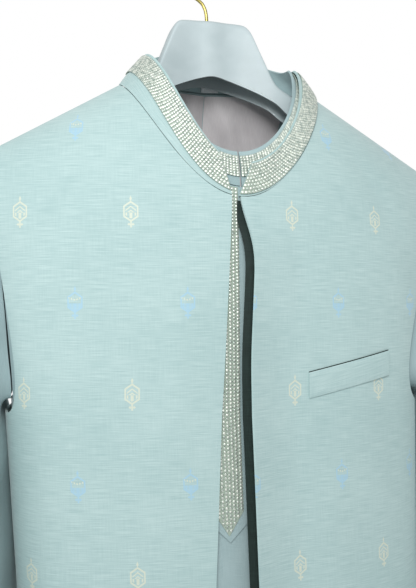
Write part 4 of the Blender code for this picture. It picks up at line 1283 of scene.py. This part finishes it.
def camera_and_light():
    """The photograph's viewpoint, a white surround and soft studio light."""
    turn = CAMERA["turn"]
    eye = (-CAMERA["distance"] * math.sin(turn) + GARMENT_SHIFT[0],
           -CAMERA["distance"] * math.cos(turn) + GARMENT_SHIFT[1], CAMERA["height"])
    lens = bpy.data.cameras.new("view")
    lens.sensor_fit = "VERTICAL"
    lens.sensor_height = 24.0
    lens.lens = CAMERA["focal_px"] / IMAGE["height"] * lens.sensor_height
    lens.shift_x = (IMAGE["width"] / 2 - CAMERA["centre_px"][0]) / IMAGE["height"]
    lens.shift_y = (CAMERA["centre_px"][1] - IMAGE["height"] / 2) / IMAGE["height"]
    lens.clip_start = 0.02
    camera = bpy.data.objects.new("view", lens)
    camera.location = eye
    camera.rotation_euler = (math.radians(90), 0.0, -turn)
    bpy.context.scene.collection.objects.link(camera)
    bpy.context.scene.camera = camera
    world = bpy.data.worlds.new("white_surround")
    world.use_nodes = True
    background = world.node_tree.nodes["Background"]
    background.inputs["Color"].default_value = (1.0, 1.0, 1.0, 1.0)
    background.inputs["Strength"].default_value = 1.0
    flat_white(world)
    bpy.context.scene.world = world
    for name, spot, aim, size, power in (
            ("key", (-0.55, -1.30, 0.25), (0.0, 0.0, -0.30), 0.5, 8.5),
            ("neck", (-0.20, -0.85, 0.02), (0.0, 0.0, -0.20), 0.25, 1.9),
            ("side", (-1.6, -0.2, -0.2), (0.0, 0.0, -0.45), 0.9, 3.0)):
        light = bpy.data.lights.new(name, "AREA")
        light.size = size
        light.energy = power
        lamp = bpy.data.objects.new(name, light)
        lamp.location = spot
        aim_line = np.array(aim) - np.array(spot)
        lamp.rotation_euler = Vector(aim_line).to_track_quat("-Z", "Y").to_euler()
        bpy.context.scene.collection.objects.link(lamp)
    scene = bpy.context.scene
    scene.view_settings.view_transform = "Standard"
    scene.view_settings.look = "None"


FLOOR_Z = -1.42
FLOOR_RADIUS = 1.0


def floor():
    """A plain pale floor well below the hem."""
    theta = np.linspace(0, 2 * math.pi, 96, endpoint=False)
    rings = [np.stack([r * np.cos(theta), r * np.sin(theta), 0 * theta + FLOOR_Z], axis=1)
             for r in (0.001, FLOOR_RADIUS)]
    mesh = make_mesh("floor", np.concatenate(rings), grid_faces(2, 96, True))
    base = bpy.data.objects.new("floor", mesh)
    finish = Finish("pale_floor", roughness=0.9)
    finish.colour(linear(240, 240, 240))
    mesh.materials.append(finish.material)
    bpy.context.scene.collection.objects.link(base)


camera_and_light()
floor()
FINISHES = {"jacket": jacket_finish("jacket_collar_weave", with_motif=False), "kurta": kurta_finish(),
            "net": trim_base_finish(), "sequin": sequin_finish()}
motif_cloth = jacket_finish("jacket_weave")
jacket_fronts(motif_cloth)
jacket_back(motif_cloth)
painted_shade_strip = painted_shade_strip_finish()
jacket_edge_painted_shade(painted_shade_strip)
jacket_welt(FINISHES["jacket"], painted_shade_strip)
collars(FINISHES)
kurta_panels(FINISHES["kurta"])
kurta_placket(FINISHES)
kurta_lining(lining_finish())
kurta_label(label_finish())
kurta_sleeves(FINISHES["kurta"])
pajama_leg("pajama_leg_right_cloth", SEAM_GAP, FINISHES["kurta"], "pajama_leg_right", 18)
pajama_leg("pajama_leg_left_cloth", 2 * SEAM_GAP + PAJAMA["thick"], FINISHES["kurta"], "pajama_leg_left", 24)
pajama_band(FINISHES["kurta"])
plastic = plastic_finish()
hanger_body(plastic)
tube("trouser_bar", bar_route(), BAR["radius"], plastic, "hanger_plastic", ("hanger_bar",))
tube("hook_wire", hook_route(), WIRE_RADIUS, brass_finish(), "hook_brass", ("hanger_hook",))
